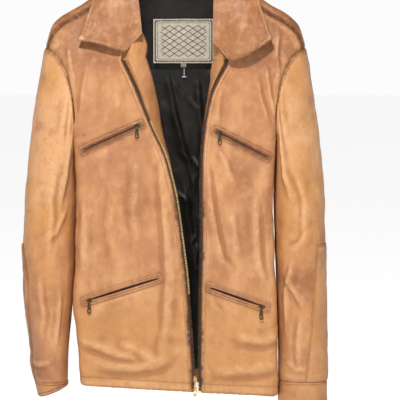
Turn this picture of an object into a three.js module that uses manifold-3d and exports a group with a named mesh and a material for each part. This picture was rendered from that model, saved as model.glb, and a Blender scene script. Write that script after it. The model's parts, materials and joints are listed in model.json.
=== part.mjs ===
// Leather riding jacket, hanging open on its neck, sleeves down.
// Units are millimetres. +Z is up, -Y is the front of the jacket, +X is the wearer's left.
// The origin is the centre of the back neck seam, where the hanging loop is sewn.
import * as THREE from 'three';
import Module from 'manifold-3d';

const wasm = await Module();
wasm.setup();
const { Manifold } = wasm;

// ---------------------------------------------------------------- driving sizes

const LEATHER = 1.4; // thickness of the cow hide panels
const LINING = 0.8; // thickness of the satin lining
const SEAM_GAP = 0.5; // space left between two panels that meet at a seam
const RIDGE_Y = -32; // depth of the shoulder line in front of the back neck seam
const FRONT_DEPTH = 70; // shoulder line to the front face
const BACK_DEPTH = 60; // shoulder line to the back face
const FRONT_CORNER = 14; // radius where the front face turns to the side
const BACK_CORNER = 34; // radius where the back face turns to the side
const SHOULDER_DROP = 180; // height over which the shoulder rounds into the flat faces
const LINING_INSET = 12; // lining sits this far inside the outer face
const YOKE_SEAM_Z = -130; // horizontal seam under the back yoke
const FORWARD_SEAM = 17; // forward shoulder seam, measured down from the shoulder line
const NECK_X = 100; // half distance between the two shoulder neck points

const ARM_TIP_X = 245; // shoulder tip
const ARM_TIP_Z = -106;
const ARM_SIDE_X = 187; // armhole seam where it runs straight down the chest
const ARM_SIDE_Z = -239;
const ARMPIT_Z = -300;
const ELBOW_Z = -455; // the sleeve folds here
const SLEEVE_ROUND_Z = -386; // below this height the sleeve is a plain oval tube
const CUFF_SEAM_Z = -727;
const CUFF_END = { right: -747, left: -775 };

const ZIP_TAPE = 0.6; // thickness of the zip tape
const TOOTH_PITCH = 12;
const SLIDER_PLAY = 0.35; // clearance between a slider and its chain
const MAIN_SLIDER_Z = -721; // the front slider rests just above the hem

// ---------------------------------------------------------------- small maths

const clamp = (value, low, high) => Math.min(high, Math.max(low, value));
const mix = (a, b, t) => a + (b - a) * t;
const radians = (degrees) => (degrees * Math.PI) / 180;
const steps = (count) => Array.from({ length: count + 1 }, (_, i) => i / count);

// Smooth curve through [key, value] landmarks, keys rising.
function through(marks, key) {
  const last = marks.length - 1;
  if (key <= marks[0][0]) return marks[0][1];
  if (key >= marks[last][0]) return marks[last][1];
  const i = marks.findIndex((mark, n) => n > 0 && key <= mark[0]) - 1;
  const slope = (n) => {
    const a = marks[Math.max(n - 1, 0)];
    const b = marks[Math.min(n + 1, last)];
    return (b[1] - a[1]) / (b[0] - a[0]);
  };
  const span = marks[i + 1][0] - marks[i][0];
  const t = (key - marks[i][0]) / span;
  const rise = marks[i + 1][1] - marks[i][1];
  const bend = t * (1 - t) * ((slope(i) * span - rise) * (1 - t) - (slope(i + 1) * span - rise) * t);
  return marks[i][1] + rise * t + bend;
}

// ---------------------------------------------------------------- shape of the jacket

// Height of the shoulder line above or below the back neck seam.
const ridge = (x) => through(
  [[0, 28], [85, 26], [110, 18], [170, -20], [228, -60], [245, -108], [262, -160]],
  Math.abs(x),
);

// Half width of the body.
const halfWidth = (z) => through(
  [[-760, 178], [-711, 178], [-627, 183.5], [-572, 187.5], [-480, 183.5], [-386, 180],
    [ARMPIT_Z, 186], [ARM_SIDE_Z, 192], [-170, 214], [ARM_TIP_Z, 262]],
  z,
);

// Front zip edges, wearer's right and left, from the hem up.
const EDGE = {
  right: [[-760, 35], [-534, 19], [-460, 10], [-382, -1], [-349, -8.6], [-302, -21.6],
    [-254, -44], [-182, -73.5], [-126, -99]],
  left: [[-760, 47], [-664, 48], [-572, 49], [-479, 51], [-321, 51], [-265, 55],
    [-219, 62], [-182, 72], [-135, 97]],
};
const NECKLINE = [[-126, 99], [-80, 89], [-40, 90], [5, NECK_X]];
const sideSign = { right: -1, left: 1 };

function frontEdge(side, z) {
  if (z <= -126) return through(EDGE[side], z);
  return sideSign[side] * through(NECKLINE, z);
}

// Lower edge of the jacket, a little longer on the wearer's left.
const hem = (x) => -743 - 0.075 * x;

const hypot1 = (t) => Math.sqrt(Math.max(0, 1 - t * t));

// Point of the shoulder at distance x from the middle. The turn goes from the
// front face (+90 degrees) over the shoulder line (0) to the back face (-90).
function shoulder(x, turn, inset = 0) {
  const depth = (turn > 0 ? FRONT_DEPTH : BACK_DEPTH) - inset;
  const z = ridge(x) - SHOULDER_DROP + (SHOULDER_DROP - inset) * Math.cos(turn);
  return new THREE.Vector3(x, RIDGE_Y - depth * Math.sin(turn), z);
}

const faceDepth = { front: FRONT_DEPTH, back: BACK_DEPTH };
const faceCorner = { front: FRONT_CORNER, back: BACK_CORNER };
const faceSign = { front: -1, back: 1 };

// Distance round the body from the middle of a face to the side seam.
function sideSeam(face, z) {
  const corner = faceCorner[face];
  return halfWidth(z) - corner + (corner * Math.PI) / 2 + faceDepth[face] - corner;
}

// Point of the body: d is measured round the body from the middle of the face.
function body(d, z, face, inset = 0) {
  const corner = faceCorner[face];
  const flat = halfWidth(z) - corner;
  const reach = Math.abs(d) - flat;
  const turn = clamp(reach / corner, 0, Math.PI / 2);
  const x = Math.min(Math.abs(d), flat) + (corner - inset) * Math.sin(turn);
  const past = Math.max(0, reach - (corner * Math.PI) / 2);
  const y = faceDepth[face] - corner + (corner - inset) * Math.cos(turn) - past;
  const nominalX = Math.min(Math.abs(d), flat) + corner * Math.sin(turn);
  const drop = clamp((ridge(nominalX) - z) / SHOULDER_DROP, 0, 1);
  const z1 = drop < 1 ? z - inset * (1 - drop) : z;
  return new THREE.Vector3(Math.sign(d) * x, RIDGE_Y + faceSign[face] * y * hypot1(1 - drop), z1);
}

// Seam between body and sleeve: half distance from the middle at height z.
function armholeX(z) {
  const rise = clamp((z - ARM_SIDE_Z) / (ARM_TIP_Z - ARM_SIDE_Z), 0, 1);
  return ARM_TIP_X - (ARM_TIP_X - ARM_SIDE_X) * hypot1(rise);
}

// The same seam as a distance round the body.
function armholeReach(face, z) {
  const corner = faceCorner[face];
  const flat = halfWidth(z) - corner;
  const beyond = armholeX(z) - flat;
  const onFace = beyond > 0 ? flat + corner * Math.asin(clamp(beyond / corner, 0, 1)) : armholeX(z);
  if (z >= ARM_SIDE_Z) return onFace;
  const fall = clamp((ARM_SIDE_Z - z) / (ARM_SIDE_Z - ARMPIT_Z), 0, 1);
  return mix(onFace, sideSeam(face, z), 1 - hypot1(fall));
}

// Where the armhole meets the shoulder at a given turn over the shoulder line.
function armholeAtTurn(turn) {
  let low = ARM_SIDE_X;
  let high = ARM_TIP_X;
  for (let i = 0; i < 24; i += 1) {
    const x = (low + high) / 2;
    const z = ridge(x) - SHOULDER_DROP * (1 - Math.cos(turn));
    if (armholeX(z) > x) low = x;
    else high = x;
  }
  return low;
}

// ---------------------------------------------------------------- building solids

const group = new THREE.Group();
group.name = 'leather_riding_jacket';

const FINISH = {
  leather: { color: 0xc98a54, roughness: 0.55, metalness: 0 },
  leather_dark: { color: 0xb3754a, roughness: 0.6, metalness: 0 },
  satin: { color: 0x1f1d18, roughness: 0.45, metalness: 0 },
  tape: { color: 0x3a2419, roughness: 0.85, metalness: 0 },
  brass: { color: 0xb99152, roughness: 0.35, metalness: 1 },
  gunmetal: { color: 0x2f2d2b, roughness: 0.35, metalness: 1 },
  label: { color: 0xc9c6bd, roughness: 0.6, metalness: 0 },
  tab: { color: 0xe6dcc2, roughness: 0.8, metalness: 0 },
  nylon: { color: 0xe8e8e6, roughness: 0.4, metalness: 0 },
  cotton: { color: 0x4b4038, roughness: 0.95, metalness: 0 },
  wadding: { color: 0xd9d4c8, roughness: 1, metalness: 0 },
};

function add(name, geometry, finish) {
  geometry.deleteAttribute('uv');
  const mesh = new THREE.Mesh(geometry, new THREE.MeshStandardMaterial(FINISH[finish]));
  mesh.material.name = finish;
  mesh.name = name;
  group.add(mesh);
}

function signedVolume(points, faces) {
  const cross = new THREE.Vector3();
  return faces.reduce((sum, [a, b, c]) => (
    sum + points[a].dot(cross.crossVectors(points[b], points[c])) / 6
  ), 0);
}

function geometryOf(points, faces) {
  const outward = signedVolume(points, faces) > 0 ? faces : faces.map(([a, b, c]) => [a, c, b]);
  const geometry = new THREE.BufferGeometry();
  const numbers = points.flatMap((point) => point.toArray());
  geometry.setAttribute('position', new THREE.Float32BufferAttribute(numbers, 3));
  geometry.setIndex(outward.flat());
  geometry.computeVertexNormals();
  return geometry;
}

// Closed sheet between two matching grids of points. With ring = true the
// columns run all the way round, which makes a tube with a wall.
function sheet(outer, inner, ring = false) {
  const rows = outer.length;
  const columns = outer[0].length;
  const points = [...outer.flat(), ...inner.flat()];
  const at = (layer, i, j) => layer * rows * columns + i * columns + (j % columns);
  const faces = [];
  const quad = (a, b, c, d) => faces.push([a, b, c], [a, c, d]);
  const spans = ring ? columns : columns - 1;
  for (let i = 0; i < rows - 1; i += 1) {
    for (let j = 0; j < spans; j += 1) {
      quad(at(0, i, j), at(0, i, j + 1), at(0, i + 1, j + 1), at(0, i + 1, j));
      quad(at(1, i, j), at(1, i + 1, j), at(1, i + 1, j + 1), at(1, i, j + 1));
    }
    if (!ring) {
      quad(at(0, i, 0), at(0, i + 1, 0), at(1, i + 1, 0), at(1, i, 0));
      quad(at(0, i + 1, spans), at(0, i, spans), at(1, i, spans), at(1, i + 1, spans));
    }
  }
  for (let j = 0; j < spans; j += 1) {
    quad(at(0, 0, j + 1), at(0, 0, j), at(1, 0, j), at(1, 0, j + 1));
    quad(at(0, rows - 1, j), at(0, rows - 1, j + 1), at(1, rows - 1, j + 1), at(1, rows - 1, j));
  }
  return geometryOf(points, faces);
}

const grid = (rows, columns, place) => rows.map((v) => columns.map((u) => place(u, v)));

// Sheet whose inner skin is the outer skin evaluated deeper in the jacket.
function layer(rows, columns, place, inset, thickness, ring = false) {
  const outer = grid(rows, columns, (u, v) => place(u, v, inset));
  const inner = grid(rows, columns, (u, v) => place(u, v, inset + thickness));
  return sheet(outer, inner, ring);
}

function fromManifold(solid) {
  const mesh = solid.getMesh();
  const geometry = new THREE.BufferGeometry();
  geometry.setAttribute('position', new THREE.Float32BufferAttribute(mesh.vertProperties, 3));
  geometry.setIndex(Array.from(mesh.triVerts));
  geometry.computeVertexNormals();
  return geometry;
}

function toManifold(geometry) {
  const mesh = new wasm.Mesh({
    numProp: 3,
    vertProperties: new Float32Array(geometry.attributes.position.array),
    triVerts: new Uint32Array(geometry.index.array),
  });
  mesh.merge();
  return new Manifold(mesh);
}

// Box given by two opposite corners.
function box(low, high) {
  const size = low.map((value, i) => high[i] - value);
  return Manifold.cube(size, false).translate(low);
}

// ---------------------------------------------------------------- body panels

const PANEL_ROWS = steps(18).map((v) => v ** 1.4);
const seamAcross = (x) => ridge(x) - FORWARD_SEAM;

// Place of a front panel point: u runs from the zip edge to the side, v from the
// forward shoulder seam to the hem.
function frontPlace(side, topDrop) {
  const sign = sideSign[side];
  return (u, v, inset) => {
    const tipX = armholeAtTurn(Math.acos(1 - FORWARD_SEAM / SHOULDER_DROP));
    const topIn = seamAcross(NECK_X) - topDrop;
    const topOut = seamAcross(tipX) - topDrop;
    const zIn = mix(topIn, hem(frontEdge(side, -750)), v);
    const zOut = mix(topOut, hem(sign * 180), v);
    const rough = mix(zIn, zOut, u);
    const x = mix(NECK_X, tipX, u);
    const z = rough + (seamAcross(x) - topDrop - mix(topIn, topOut, u)) * (1 - v) ** 3;
    const from = frontEdge(side, zIn);
    const to = sign * (armholeOrSeam('front', zOut) - SEAM_GAP / 2);
    return body(mix(from, to, u), z, 'front', inset);
  };
}

function armholeOrSeam(face, z) {
  return z > ARMPIT_Z ? armholeReach(face, z) : sideSeam(face, z);
}

const PANEL_COLUMNS = [...steps(6).map((u) => u * 0.62), 0.7, 0.77, 0.84, 0.92, 1];

// ---------------------------------------------------------------- zip pockets

const FACE_Y = RIDGE_Y - FRONT_DEPTH;
const POCKETS = [
  { name: 'chest_pocket_right', inner: [-64, -246.3], outer: [-170, -293.5], open: false, bag: 92 },
  { name: 'chest_pocket_left', inner: [76, -258], outer: [171, -306.5], open: false, bag: 92 },
  { name: 'waist_pocket_right', inner: [-31.6, -532.7], outer: [-167, -574.9], open: true, bag: 112 },
  { name: 'waist_pocket_left', inner: [65, -550.4], outer: [167, -586.3], open: true, bag: 112 },
];
const POCKET_END = 8; // leather left beyond each end of the zip
const COIL = 1.8; // width of one row of zip coil
const MOUTH = 6.4; // gap between the rows of an open pocket
const SLIDER_LENGTH = 11;
const BAG_WALL = 0.8; // thickness of the pocket bag cloth

// Pocket frame: first axis along the zip towards the inner end, second axis into
// the jacket, third axis up the face. The origin is on the face, mid zip.
function pocketFrame(pocket) {
  const [xi, zi] = pocket.inner;
  const [xo, zo] = pocket.outer;
  const along = new THREE.Vector3(xi - xo, 0, zi - zo);
  const length = along.length();
  along.normalize();
  const into = new THREE.Vector3(0, Math.sign(xi - xo), 0);
  const up = new THREE.Vector3().crossVectors(along, into);
  const matrix = new THREE.Matrix4().makeBasis(along, into, up);
  matrix.setPosition((xi + xo) / 2, FACE_Y, (zi + zo) / 2);
  return { length, matrix, inward: into.y };
}

// Box in a pocket frame; depth is counted into the jacket on both sides.
function pocketBox(frame, alongRange, depthRange, upRange) {
  const depths = depthRange.map((depth) => depth * frame.inward).sort((a, b) => a - b);
  return box(
    [alongRange[0], depths[0], upRange[0]],
    [alongRange[1], depths[1], upRange[1]],
  );
}

function settled(solid, frame) {
  return solid.transform(frame.matrix.toArray());
}

function pocketSizes(pocket, frame) {
  const half = frame.length / 2;
  const coil = pocket.open ? MOUTH / 2 + COIL : COIL;
  const slider = coil + SLIDER_PLAY + 1;
  return { half, coil, slider, slot: slider + 0.7, window: slider + 5 };
}

function pocketWindow(pocket) {
  const frame = pocketFrame(pocket);
  const { half, window } = pocketSizes(pocket, frame);
  const reach = half + POCKET_END + SEAM_GAP;
  const tall = window + SEAM_GAP;
  return settled(pocketBox(frame, [-reach, reach], [-4, 4], [-tall, tall]), frame);
}

// Teardrop pull tab lying flat: top at the origin, hanging down -Z.
function pullTab(length, width, thickness) {
  const outline = new THREE.Shape();
  outline.moveTo(-width * 0.22, 0);
  outline.lineTo(-width / 2, -length * 0.7);
  outline.absarc(0, -length + width / 2, width / 2, Math.PI, 2 * Math.PI, false);
  outline.lineTo(width * 0.22, 0);
  outline.closePath();
  const hole = new THREE.Path();
  hole.absarc(0, -length + width / 2, width * 0.24, 0, 2 * Math.PI, false);
  outline.holes.push(hole);
  const plate = new THREE.ExtrudeGeometry(outline, {
    depth: thickness,
    bevelEnabled: false,
    curveSegments: 8,
  });
  plate.rotateX(Math.PI / 2);
  return plate;
}

function addPocket(pocket) {
  const frame = pocketFrame(pocket);
  const { half, coil, slider, slot, window } = pocketSizes(pocket, frame);
  const reach = half + POCKET_END;

  const frameLeather = pocketBox(frame, [-reach, reach], [0, LEATHER], [-window, window]);
  const slotCut = pocketBox(frame, [-half, half], [-1, 3], [-slot, slot]);
  add(`${pocket.name}_welt`, fromManifold(settled(frameLeather.subtract(slotCut), frame)), 'leather_dark');

  const tape = pocketBox(frame, [-half - 3, half + 2], [2, 2 + ZIP_TAPE], [-window, window]);
  const rows = pocketBox(frame, [-half + 1, half - 1], [1, 3.5], [-coil, coil]);
  let chain = tape.add(rows);
  if (pocket.open) {
    chain = chain.subtract(pocketBox(frame, [-half + 18, half - 6], [-1, 5], [-MOUTH / 2, MOUTH / 2]));
  }
  add(`${pocket.name}_zip`, fromManifold(settled(chain, frame)), 'tape');

  // The slider closes the chest pockets at their inner end and leaves the
  // waist pockets open from their outer end.
  const end = pocket.open ? -half + 2 + SLIDER_LENGTH / 2 : half - 2 - SLIDER_LENGTH / 2;
  const ends = [end - SLIDER_LENGTH / 2, end + SLIDER_LENGTH / 2];
  const channel = coil + SLIDER_PLAY;
  const shell = pocketBox(frame, ends, [-0.9, 1.7], [-slider, slider]);
  const groove = pocketBox(frame, [ends[0] - 1, ends[1] + 1], [0.6, 3], [-channel, channel]);
  const metal = pocket.open ? 'brass' : 'gunmetal';
  add(`${pocket.name}_slider`, fromManifold(settled(shell.subtract(groove), frame)), metal);

  const tab = pullTab(pocket.open ? 20 : 17, 8, 1.2);
  const hang = new THREE.Vector3(end, 0, 0).applyMatrix4(frame.matrix);
  tab.translate(hang.x, FACE_Y - 1.5, hang.z);
  add(`${pocket.name}_pull`, tab, pocket.open ? 'brass' : 'gunmetal');

  // The bag hangs straight down, so its sides lean against the slope of the zip.
  const slope = frame.matrix.elements[2] / Math.abs(frame.matrix.elements[0]);
  const lean = [1, 0, 0, 0, 0, 1, 0, 0, slope, 0, 1, 0, 0, 0, 0, 1];
  const bagEnds = [-half + 14, half - 8];
  const outside = pocketBox(frame, bagEnds, [4.2, 10.6], [-pocket.bag, window]);
  const inside = pocketBox(
    frame,
    [bagEnds[0] + BAG_WALL, bagEnds[1] - BAG_WALL],
    [4.2 + BAG_WALL, 10.6 - BAG_WALL],
    [BAG_WALL - pocket.bag, window - BAG_WALL],
  );
  const mouth = pocketBox(frame, [-half + 18, half - 12], [3, 6], [-MOUTH / 2, MOUTH / 2]);
  const bag = outside.subtract(inside).transform(lean).subtract(mouth);
  add(`${pocket.name}_bag`, fromManifold(settled(bag, frame)), 'cotton');
}

// ---------------------------------------------------------------- fronts

function addFront(side) {
  const plain = layer(
    PANEL_ROWS,
    PANEL_COLUMNS,
    frontPlace(side, 2 * SEAM_GAP),
    0,
    LEATHER,
  );
  let panel = toManifold(plain);
  POCKETS.filter((pocket) => Math.sign(pocket.outer[0]) === sideSign[side]).forEach((pocket) => {
    panel = panel.subtract(pocketWindow(pocket));
  });
  add(`front_panel_${side}`, fromManifold(panel), 'leather');
}

addFront('right');
addFront('left');
POCKETS.forEach(addPocket);

// ---------------------------------------------------------------- yoke and back

const YOKE_INNER = [0, 30, 55, 75, 88, 95, NECK_X];
const YOKE_OUTER = [0.2, 0.4, 0.6, 0.8, 0.92, 1];
const FORWARD_TURN = Math.acos(1 - FORWARD_SEAM / SHOULDER_DROP);
const neckTurn = (x) => radians(through(
  [[0, -32.4], [40, -30], [75, -18], [90, 0], [NECK_X, 24]],
  Math.abs(x),
));
const turnAtHeight = (x, z) => -Math.acos(clamp(1 - (ridge(x) - z) / SHOULDER_DROP, 0, 1));

// Yoke point: the column is a distance from the middle up to the neck point, then
// a share of the way to the armhole; v runs from the front seam to the back seam.
function yokePlace(shrink) {
  return (column, v, inset) => {
    const size = Math.abs(column);
    const share = Math.max(0, size - NECK_X);
    const start = share > 0 ? FORWARD_TURN : Math.min(neckTurn(size), FORWARD_TURN);
    let x = Math.min(size, NECK_X);
    let turn = 0;
    for (let i = 0; i < 6; i += 1) {
      turn = mix(start - 0.003, turnAtHeight(x, YOKE_SEAM_Z), v);
      x = share > 0 ? mix(NECK_X, armholeAtTurn(turn) - shrink, share) : size;
    }
    const point = shoulder(x, turn, inset);
    point.x *= Math.sign(column);
    return point;
  };
}

const yokeHalf = [...YOKE_INNER.slice(1), ...YOKE_OUTER.map((share) => NECK_X + share)];
const YOKE_COLUMNS = [...yokeHalf.map((value) => -value).reverse(), 0, ...yokeHalf];
add('back_yoke', layer(steps(8), YOKE_COLUMNS, yokePlace(SEAM_GAP / 2), 0, LEATHER), 'leather');

// Back point: u runs from side to side (-1 to 1), v from the yoke seam to the hem.
function backPlace(top, lift, shrink) {
  return (u, v, inset) => {
    const z = mix(top, hem(0) + lift, v);
    const reach = armholeOrSeam('back', z) - shrink;
    return body(u * reach, z, 'back', inset);
  };
}

const BACK_ROWS = steps(11).map((v) => v ** 1.3);
const BACK_COLUMNS = steps(18).map((u) => 2 * u - 1);
add(
  'back_panel',
  layer(BACK_ROWS, BACK_COLUMNS, backPlace(YOKE_SEAM_Z - SEAM_GAP, 0, SEAM_GAP / 2), 0, LEATHER),
  'leather',
);

// ---------------------------------------------------------------- front zip

const STRIP_TOP = -144;
const stripBottom = (side) => hem(frontEdge(side, -750)) + 3;

// Strip that follows a front edge: u is the distance past the edge towards the opening.
function edgePlace(side, bottom) {
  return (u, v, inset) => {
    const z = mix(STRIP_TOP, bottom, v);
    return body(frontEdge(side, z) - sideSign[side] * u, z, 'front', inset);
  };
}

function addZipHalf(side) {
  const bottom = stripBottom(side);
  add(`zip_tape_${side}`, layer(steps(48), [-7, 2.8], edgePlace(side, bottom), 1.9, ZIP_TAPE), 'tape');

  // Teeth: every second row of the strip reaches further out.
  const end = bottom + 9;
  const count = 2 * Math.round((STRIP_TOP - end) / TOOTH_PITCH);
  const rows = steps(count);
  const place = edgePlace(side, end);
  const comb = (u, v, inset) => {
    const crown = Math.round(v * count) % 2 === 1;
    return place(u > 4 && !crown ? u - 1 : u, v, inset);
  };
  add(`zip_teeth_${side}`, layer(rows, [3.4, 5.6], comb, 0.9, 2.6), 'brass');
}

addZipHalf('right');
addZipHalf('left');

// Straight metal piece beside a front edge, cut square at both ends.
function edgeBlock(side, past, depth, heights) {
  const low = body(frontEdge(side, heights[0]), heights[0], 'front');
  const high = body(frontEdge(side, heights[1]), heights[1], 'front');
  const corner = (point, distance, inset) => new THREE.Vector3(
    point.x - sideSign[side] * distance,
    point.y + inset,
    point.z,
  );
  const outer = [high, low].map((point) => past.map((distance) => corner(point, distance, depth[0])));
  const inner = [high, low].map((point) => past.map((distance) => corner(point, distance, depth[1])));
  return sheet(outer, inner);
}

const boxTop = stripBottom('right') + 8.4;
add('zip_box', edgeBlock('right', [3.4, 6.4], [0.4, 4], [boxTop - 9, boxTop]), 'brass');
const pinTop = stripBottom('left') + 8.4;
add('zip_pin', edgeBlock('left', [3.4, 5.2], [1.2, 3.2], [pinTop - 13, pinTop]), 'brass');

// The front slider is a saddle over the teeth on the wearer's right.
const SLIDER_HALF = 7;
const sliderEnds = [MAIN_SLIDER_Z - SLIDER_HALF, MAIN_SLIDER_Z + SLIDER_HALF];
const sliderBlock = toManifold(edgeBlock('right', [2, 7.4], [-0.6, 4.9], sliderEnds));
const grooveEnds = [sliderEnds[0] - 2, sliderEnds[1] + 2];
const toothGroove = toManifold(edgeBlock('right', [2.9, 6.2], [0.5, 3.9], grooveEnds));
const tapeGroove = toManifold(edgeBlock('right', [-1, 3.5], [1.5, 2.9], grooveEnds));
add('zip_slider', fromManifold(sliderBlock.subtract(toothGroove).subtract(tapeGroove)), 'brass');

const mainPull = pullTab(26, 7, 1.4);
mainPull.translate(frontEdge('right', MAIN_SLIDER_Z) + 4.7, FACE_Y - 1.3, MAIN_SLIDER_Z);
add('zip_pull', mainPull, 'brass');

// ---------------------------------------------------------------- facings and hem

const FACING_WIDTH = 54;
// Angle of each facing off the front face: small where the front lies open, past
// ninety degrees where it is folded behind the panel.
const FACING_TURN = {
  right: [[-745, 160], [-560, 128], [-382, 92], [-302, 80], [-254, 67], [-182, 52], [-126, 24]],
  left: [[-745, 160], [-560, 128], [-300, 96], [-219, 90], [-182, 80], [-135, 56]],
};
const FACING_RISE = { right: 38, left: 48 };
const FACING_TOP = { right: -116, left: -130 };

function facingPlace(side) {
  const bottom = hem(frontEdge(side, -750)) + 8;
  return (u, v, inset) => {
    const z = mix(FACING_TOP[side], bottom, v);
    const start = body(frontEdge(side, z), z, 'front', 5.2);
    const turn = radians(through(FACING_TURN[side], z));
    const along = u * FACING_WIDTH - 1;
    const step = -sideSign[side];
    start.x += step * (along * Math.cos(turn) - inset * Math.sin(turn));
    start.y += along * Math.sin(turn) + inset * Math.cos(turn);
    start.z += FACING_RISE[side] * u * (1 - v) ** 8;
    return start;
  };
}

for (const side of ['right', 'left']) {
  add(`front_facing_${side}`, layer(steps(22), steps(4), facingPlace(side), 0, LEATHER), 'leather');
}

// Point on the whole body outline: t is measured from the middle of the back.
function around(t, z, inset) {
  const back = sideSeam('back', z);
  if (Math.abs(t) <= back) return body(t, z, 'back', inset);
  return body(Math.sign(t) * (sideSeam('front', z) - Math.abs(t) + back), z, 'front', inset);
}

const HEM_BAND = 32;
const bandReach = (side) => {
  const z = -720;
  return sideSeam('back', z) + sideSeam('front', z) - sideSign[side] * frontEdge(side, z) - 62;
};
const bandColumns = steps(36).map((u) => mix(-bandReach('right'), bandReach('left'), u));
add(
  'hem_band',
  layer(
    steps(2),
    bandColumns,
    (t, v, inset) => {
      const x = around(t, -720, 0).x;
      return around(t, hem(x) + 3 + HEM_BAND * v, inset);
    },
    4.6,
    LEATHER,
  ),
  'leather_dark',
);

// ---------------------------------------------------------------- collar

const knots = (list) => new THREE.CatmullRomCurve3(list, false, 'centripetal');
const mirrorX = (list) => list.map((point) => new THREE.Vector3(-point.x, point.y, point.z));

// Neck seam: from the front of the wearer's right, round the back, to the left.
function neckSeam(lift) {
  const half = [
    body(-90, -96, 'front', -lift),
    body(-88, -60, 'front', -lift),
    body(-90, -28, 'front', -lift),
    ...[96, 88, 75, 52, 28].map((x) => {
      const point = shoulder(x, neckTurn(x), -lift);
      point.x = -x;
      return point;
    }),
  ];
  return [...half, shoulder(0, neckTurn(0), -lift), ...mirrorX(half).reverse()];
}

// Fold line along the top of the collar, on each side of the back.
const ROLL_BACK = [[-77, -46, 30], [-60, -20, 46], [-30, -3, 53]];
const ROLL = {
  right: [[-65, -100, -78], [-66, -93, -45], [-70, -78, -12]],
  left: [[94, -104, -84], [78, -94, -45], [72, -78, -12]],
};
// Free edge of the collar as distance from the middle and turn over the shoulder.
const FREE_EDGE = [[180, 53], [161, 37], [148, 18], [136, 0], [115, -20], [75, -37], [35, -42]];
const COLLAR_FLOAT = 5;
const COLLAR_LEATHER = 2; // two plies of hide

// Lifts a point off the shoulder if it lies closer than the given distance.
function clearOfShoulder(point, distance) {
  const depth = point.y < RIDGE_Y ? FRONT_DEPTH : BACK_DEPTH;
  const across = (RIDGE_Y - point.y) / depth;
  const up = (point.z - ridge(point.x)) / SHOULDER_DROP + 1;
  const surface = shoulder(point.x, Math.atan2(across, up), -distance);
  const surfaceUp = (surface.z - ridge(point.x)) / SHOULDER_DROP + 1;
  const needed = Math.hypot((RIDGE_Y - surface.y) / depth, surfaceUp);
  return Math.hypot(across, up) < needed ? surface : point;
}

const vector = (values) => new THREE.Vector3(...values);
const edgeHalf = (sign) => FREE_EDGE.map(([x, turn]) => {
  const point = shoulder(x, radians(turn), -COLLAR_FLOAT);
  point.x = sign * x;
  return point;
});

const rollLine = knots([
  ...ROLL.right.map(vector),
  ...ROLL_BACK.map(vector),
  vector([0, 1, 55]),
  ...mirrorX(ROLL_BACK.map(vector)).reverse(),
  ...ROLL.left.map(vector).reverse(),
]);
const freeEdge = knots([
  ...edgeHalf(-1),
  shoulder(0, radians(-43), -COLLAR_FLOAT),
  ...edgeHalf(1).reverse(),
]);

// How far each collar end drops below the straight line from fold to point.
const END_DROP = {
  right: [[0, 0], [0.25, 26], [0.6, 12], [1, 0]],
  left: [[0, 0], [0.1, 44], [0.45, 34], [0.8, 20], [1, 0]],
};

function collarPlace(u, v, inset) {
  const top = rollLine.getPoint(u);
  const bottom = freeEdge.getPoint(u);
  const point = top.clone().lerp(bottom, v);
  const outward = new THREE.Vector3(bottom.x - top.x, bottom.y - top.y, 0).normalize();
  const near = 2 * Math.abs(u - 0.5);
  const front = clamp((near - 0.72) / 0.2, 0, 1);
  const lean = outward.multiplyScalar(1 - front).add(new THREE.Vector3(0, -front, 0.6 - 0.6 * front));
  lean.normalize();
  point.addScaledVector(lean, 28 * v * (1 - v) * (1 - 0.6 * front) - inset);
  const side = u < 0.5 ? 'right' : 'left';
  const endShare = clamp((near - 0.86) / 0.14, 0, 1);
  point.z -= through(END_DROP[side], v) * endShare;
  return clearOfShoulder(point, COLLAR_FLOAT + COLLAR_LEATHER - inset);
}

add('collar_fall', layer(steps(6), steps(40), collarPlace, 0, COLLAR_LEATHER), 'leather');

const standFoot = knots(neckSeam(1.2));
function standPlace(u, v, inset) {
  const along = mix(0.06, 0.94, u);
  const top = rollLine.getPoint(along);
  const foot = standFoot.getPoint(along);
  const centre = new THREE.Vector3(0, RIDGE_Y, foot.z);
  const inward = centre.sub(foot).setZ(0).normalize();
  const point = foot.lerp(top, v * 0.72);
  return point.addScaledVector(inward, 4 + inset);
}
add('collar_stand', layer(steps(3), steps(36), standPlace, 0, LEATHER), 'leather_dark');

// ---------------------------------------------------------------- sleeves

// Oval of a sleeve by height: how far out its centre is, and half its width.
const SLEEVE = {
  right: {
    centre: [[-760, 229], [-729, 233], [-700, 236], [-664, 236.5], [-572, 238.5], [-480, 237], [-386, 233]],
    half: [[-760, 27], [-729, 31], [-700, 34.5], [-664, 36], [-572, 44.5], [-480, 49], [-386, 49]],
  },
  left: {
    centre: [[-780, 239], [-664, 238.5], [-572, 237], [-480, 233.5], [-386, 231.5]],
    half: [[-780, 46], [-664, 46], [-572, 47], [-480, 47], [-386, 48]],
  },
};
// How far behind the shoulder line the centre of the oval is, and half its depth.
const SLEEVE_FORWARD = [[-780, -34], [-600, -22], [ELBOW_Z, -10], [SLEEVE_ROUND_Z, -6]];
const SLEEVE_DEPTH = {
  right: [[-760, 50], [-600, 55], [ELBOW_Z, 59], [SLEEVE_ROUND_Z, 61]],
  left: [[-780, 40], [-600, 50], [ELBOW_Z, 58], [SLEEVE_ROUND_Z, 61]],
};
const AROUND = 24;
const LINING_AROUND = 16;
const angles = (count) => Array.from({ length: count }, (_, i) => (2 * Math.PI * i) / count);
const ringAngles = angles(AROUND);
const liningAngles = angles(LINING_AROUND);

// Outward direction of a sleeve: angle 0 is the outer side, 90 degrees the front.
const sleeveOut = (side, angle) => new THREE.Vector3(
  sideSign[side] * Math.cos(angle),
  -Math.sin(angle),
  0,
);

function sleeveOval(side, angle, z, inset) {
  const sign = sideSign[side];
  const width = through(SLEEVE[side].half, z) - inset;
  const depth = through(SLEEVE_DEPTH[side], z) - inset;
  return new THREE.Vector3(
    sign * (through(SLEEVE[side].centre, z) + width * Math.cos(angle)),
    RIDGE_Y + through(SLEEVE_FORWARD, z) - depth * Math.sin(angle),
    z,
  );
}

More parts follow.
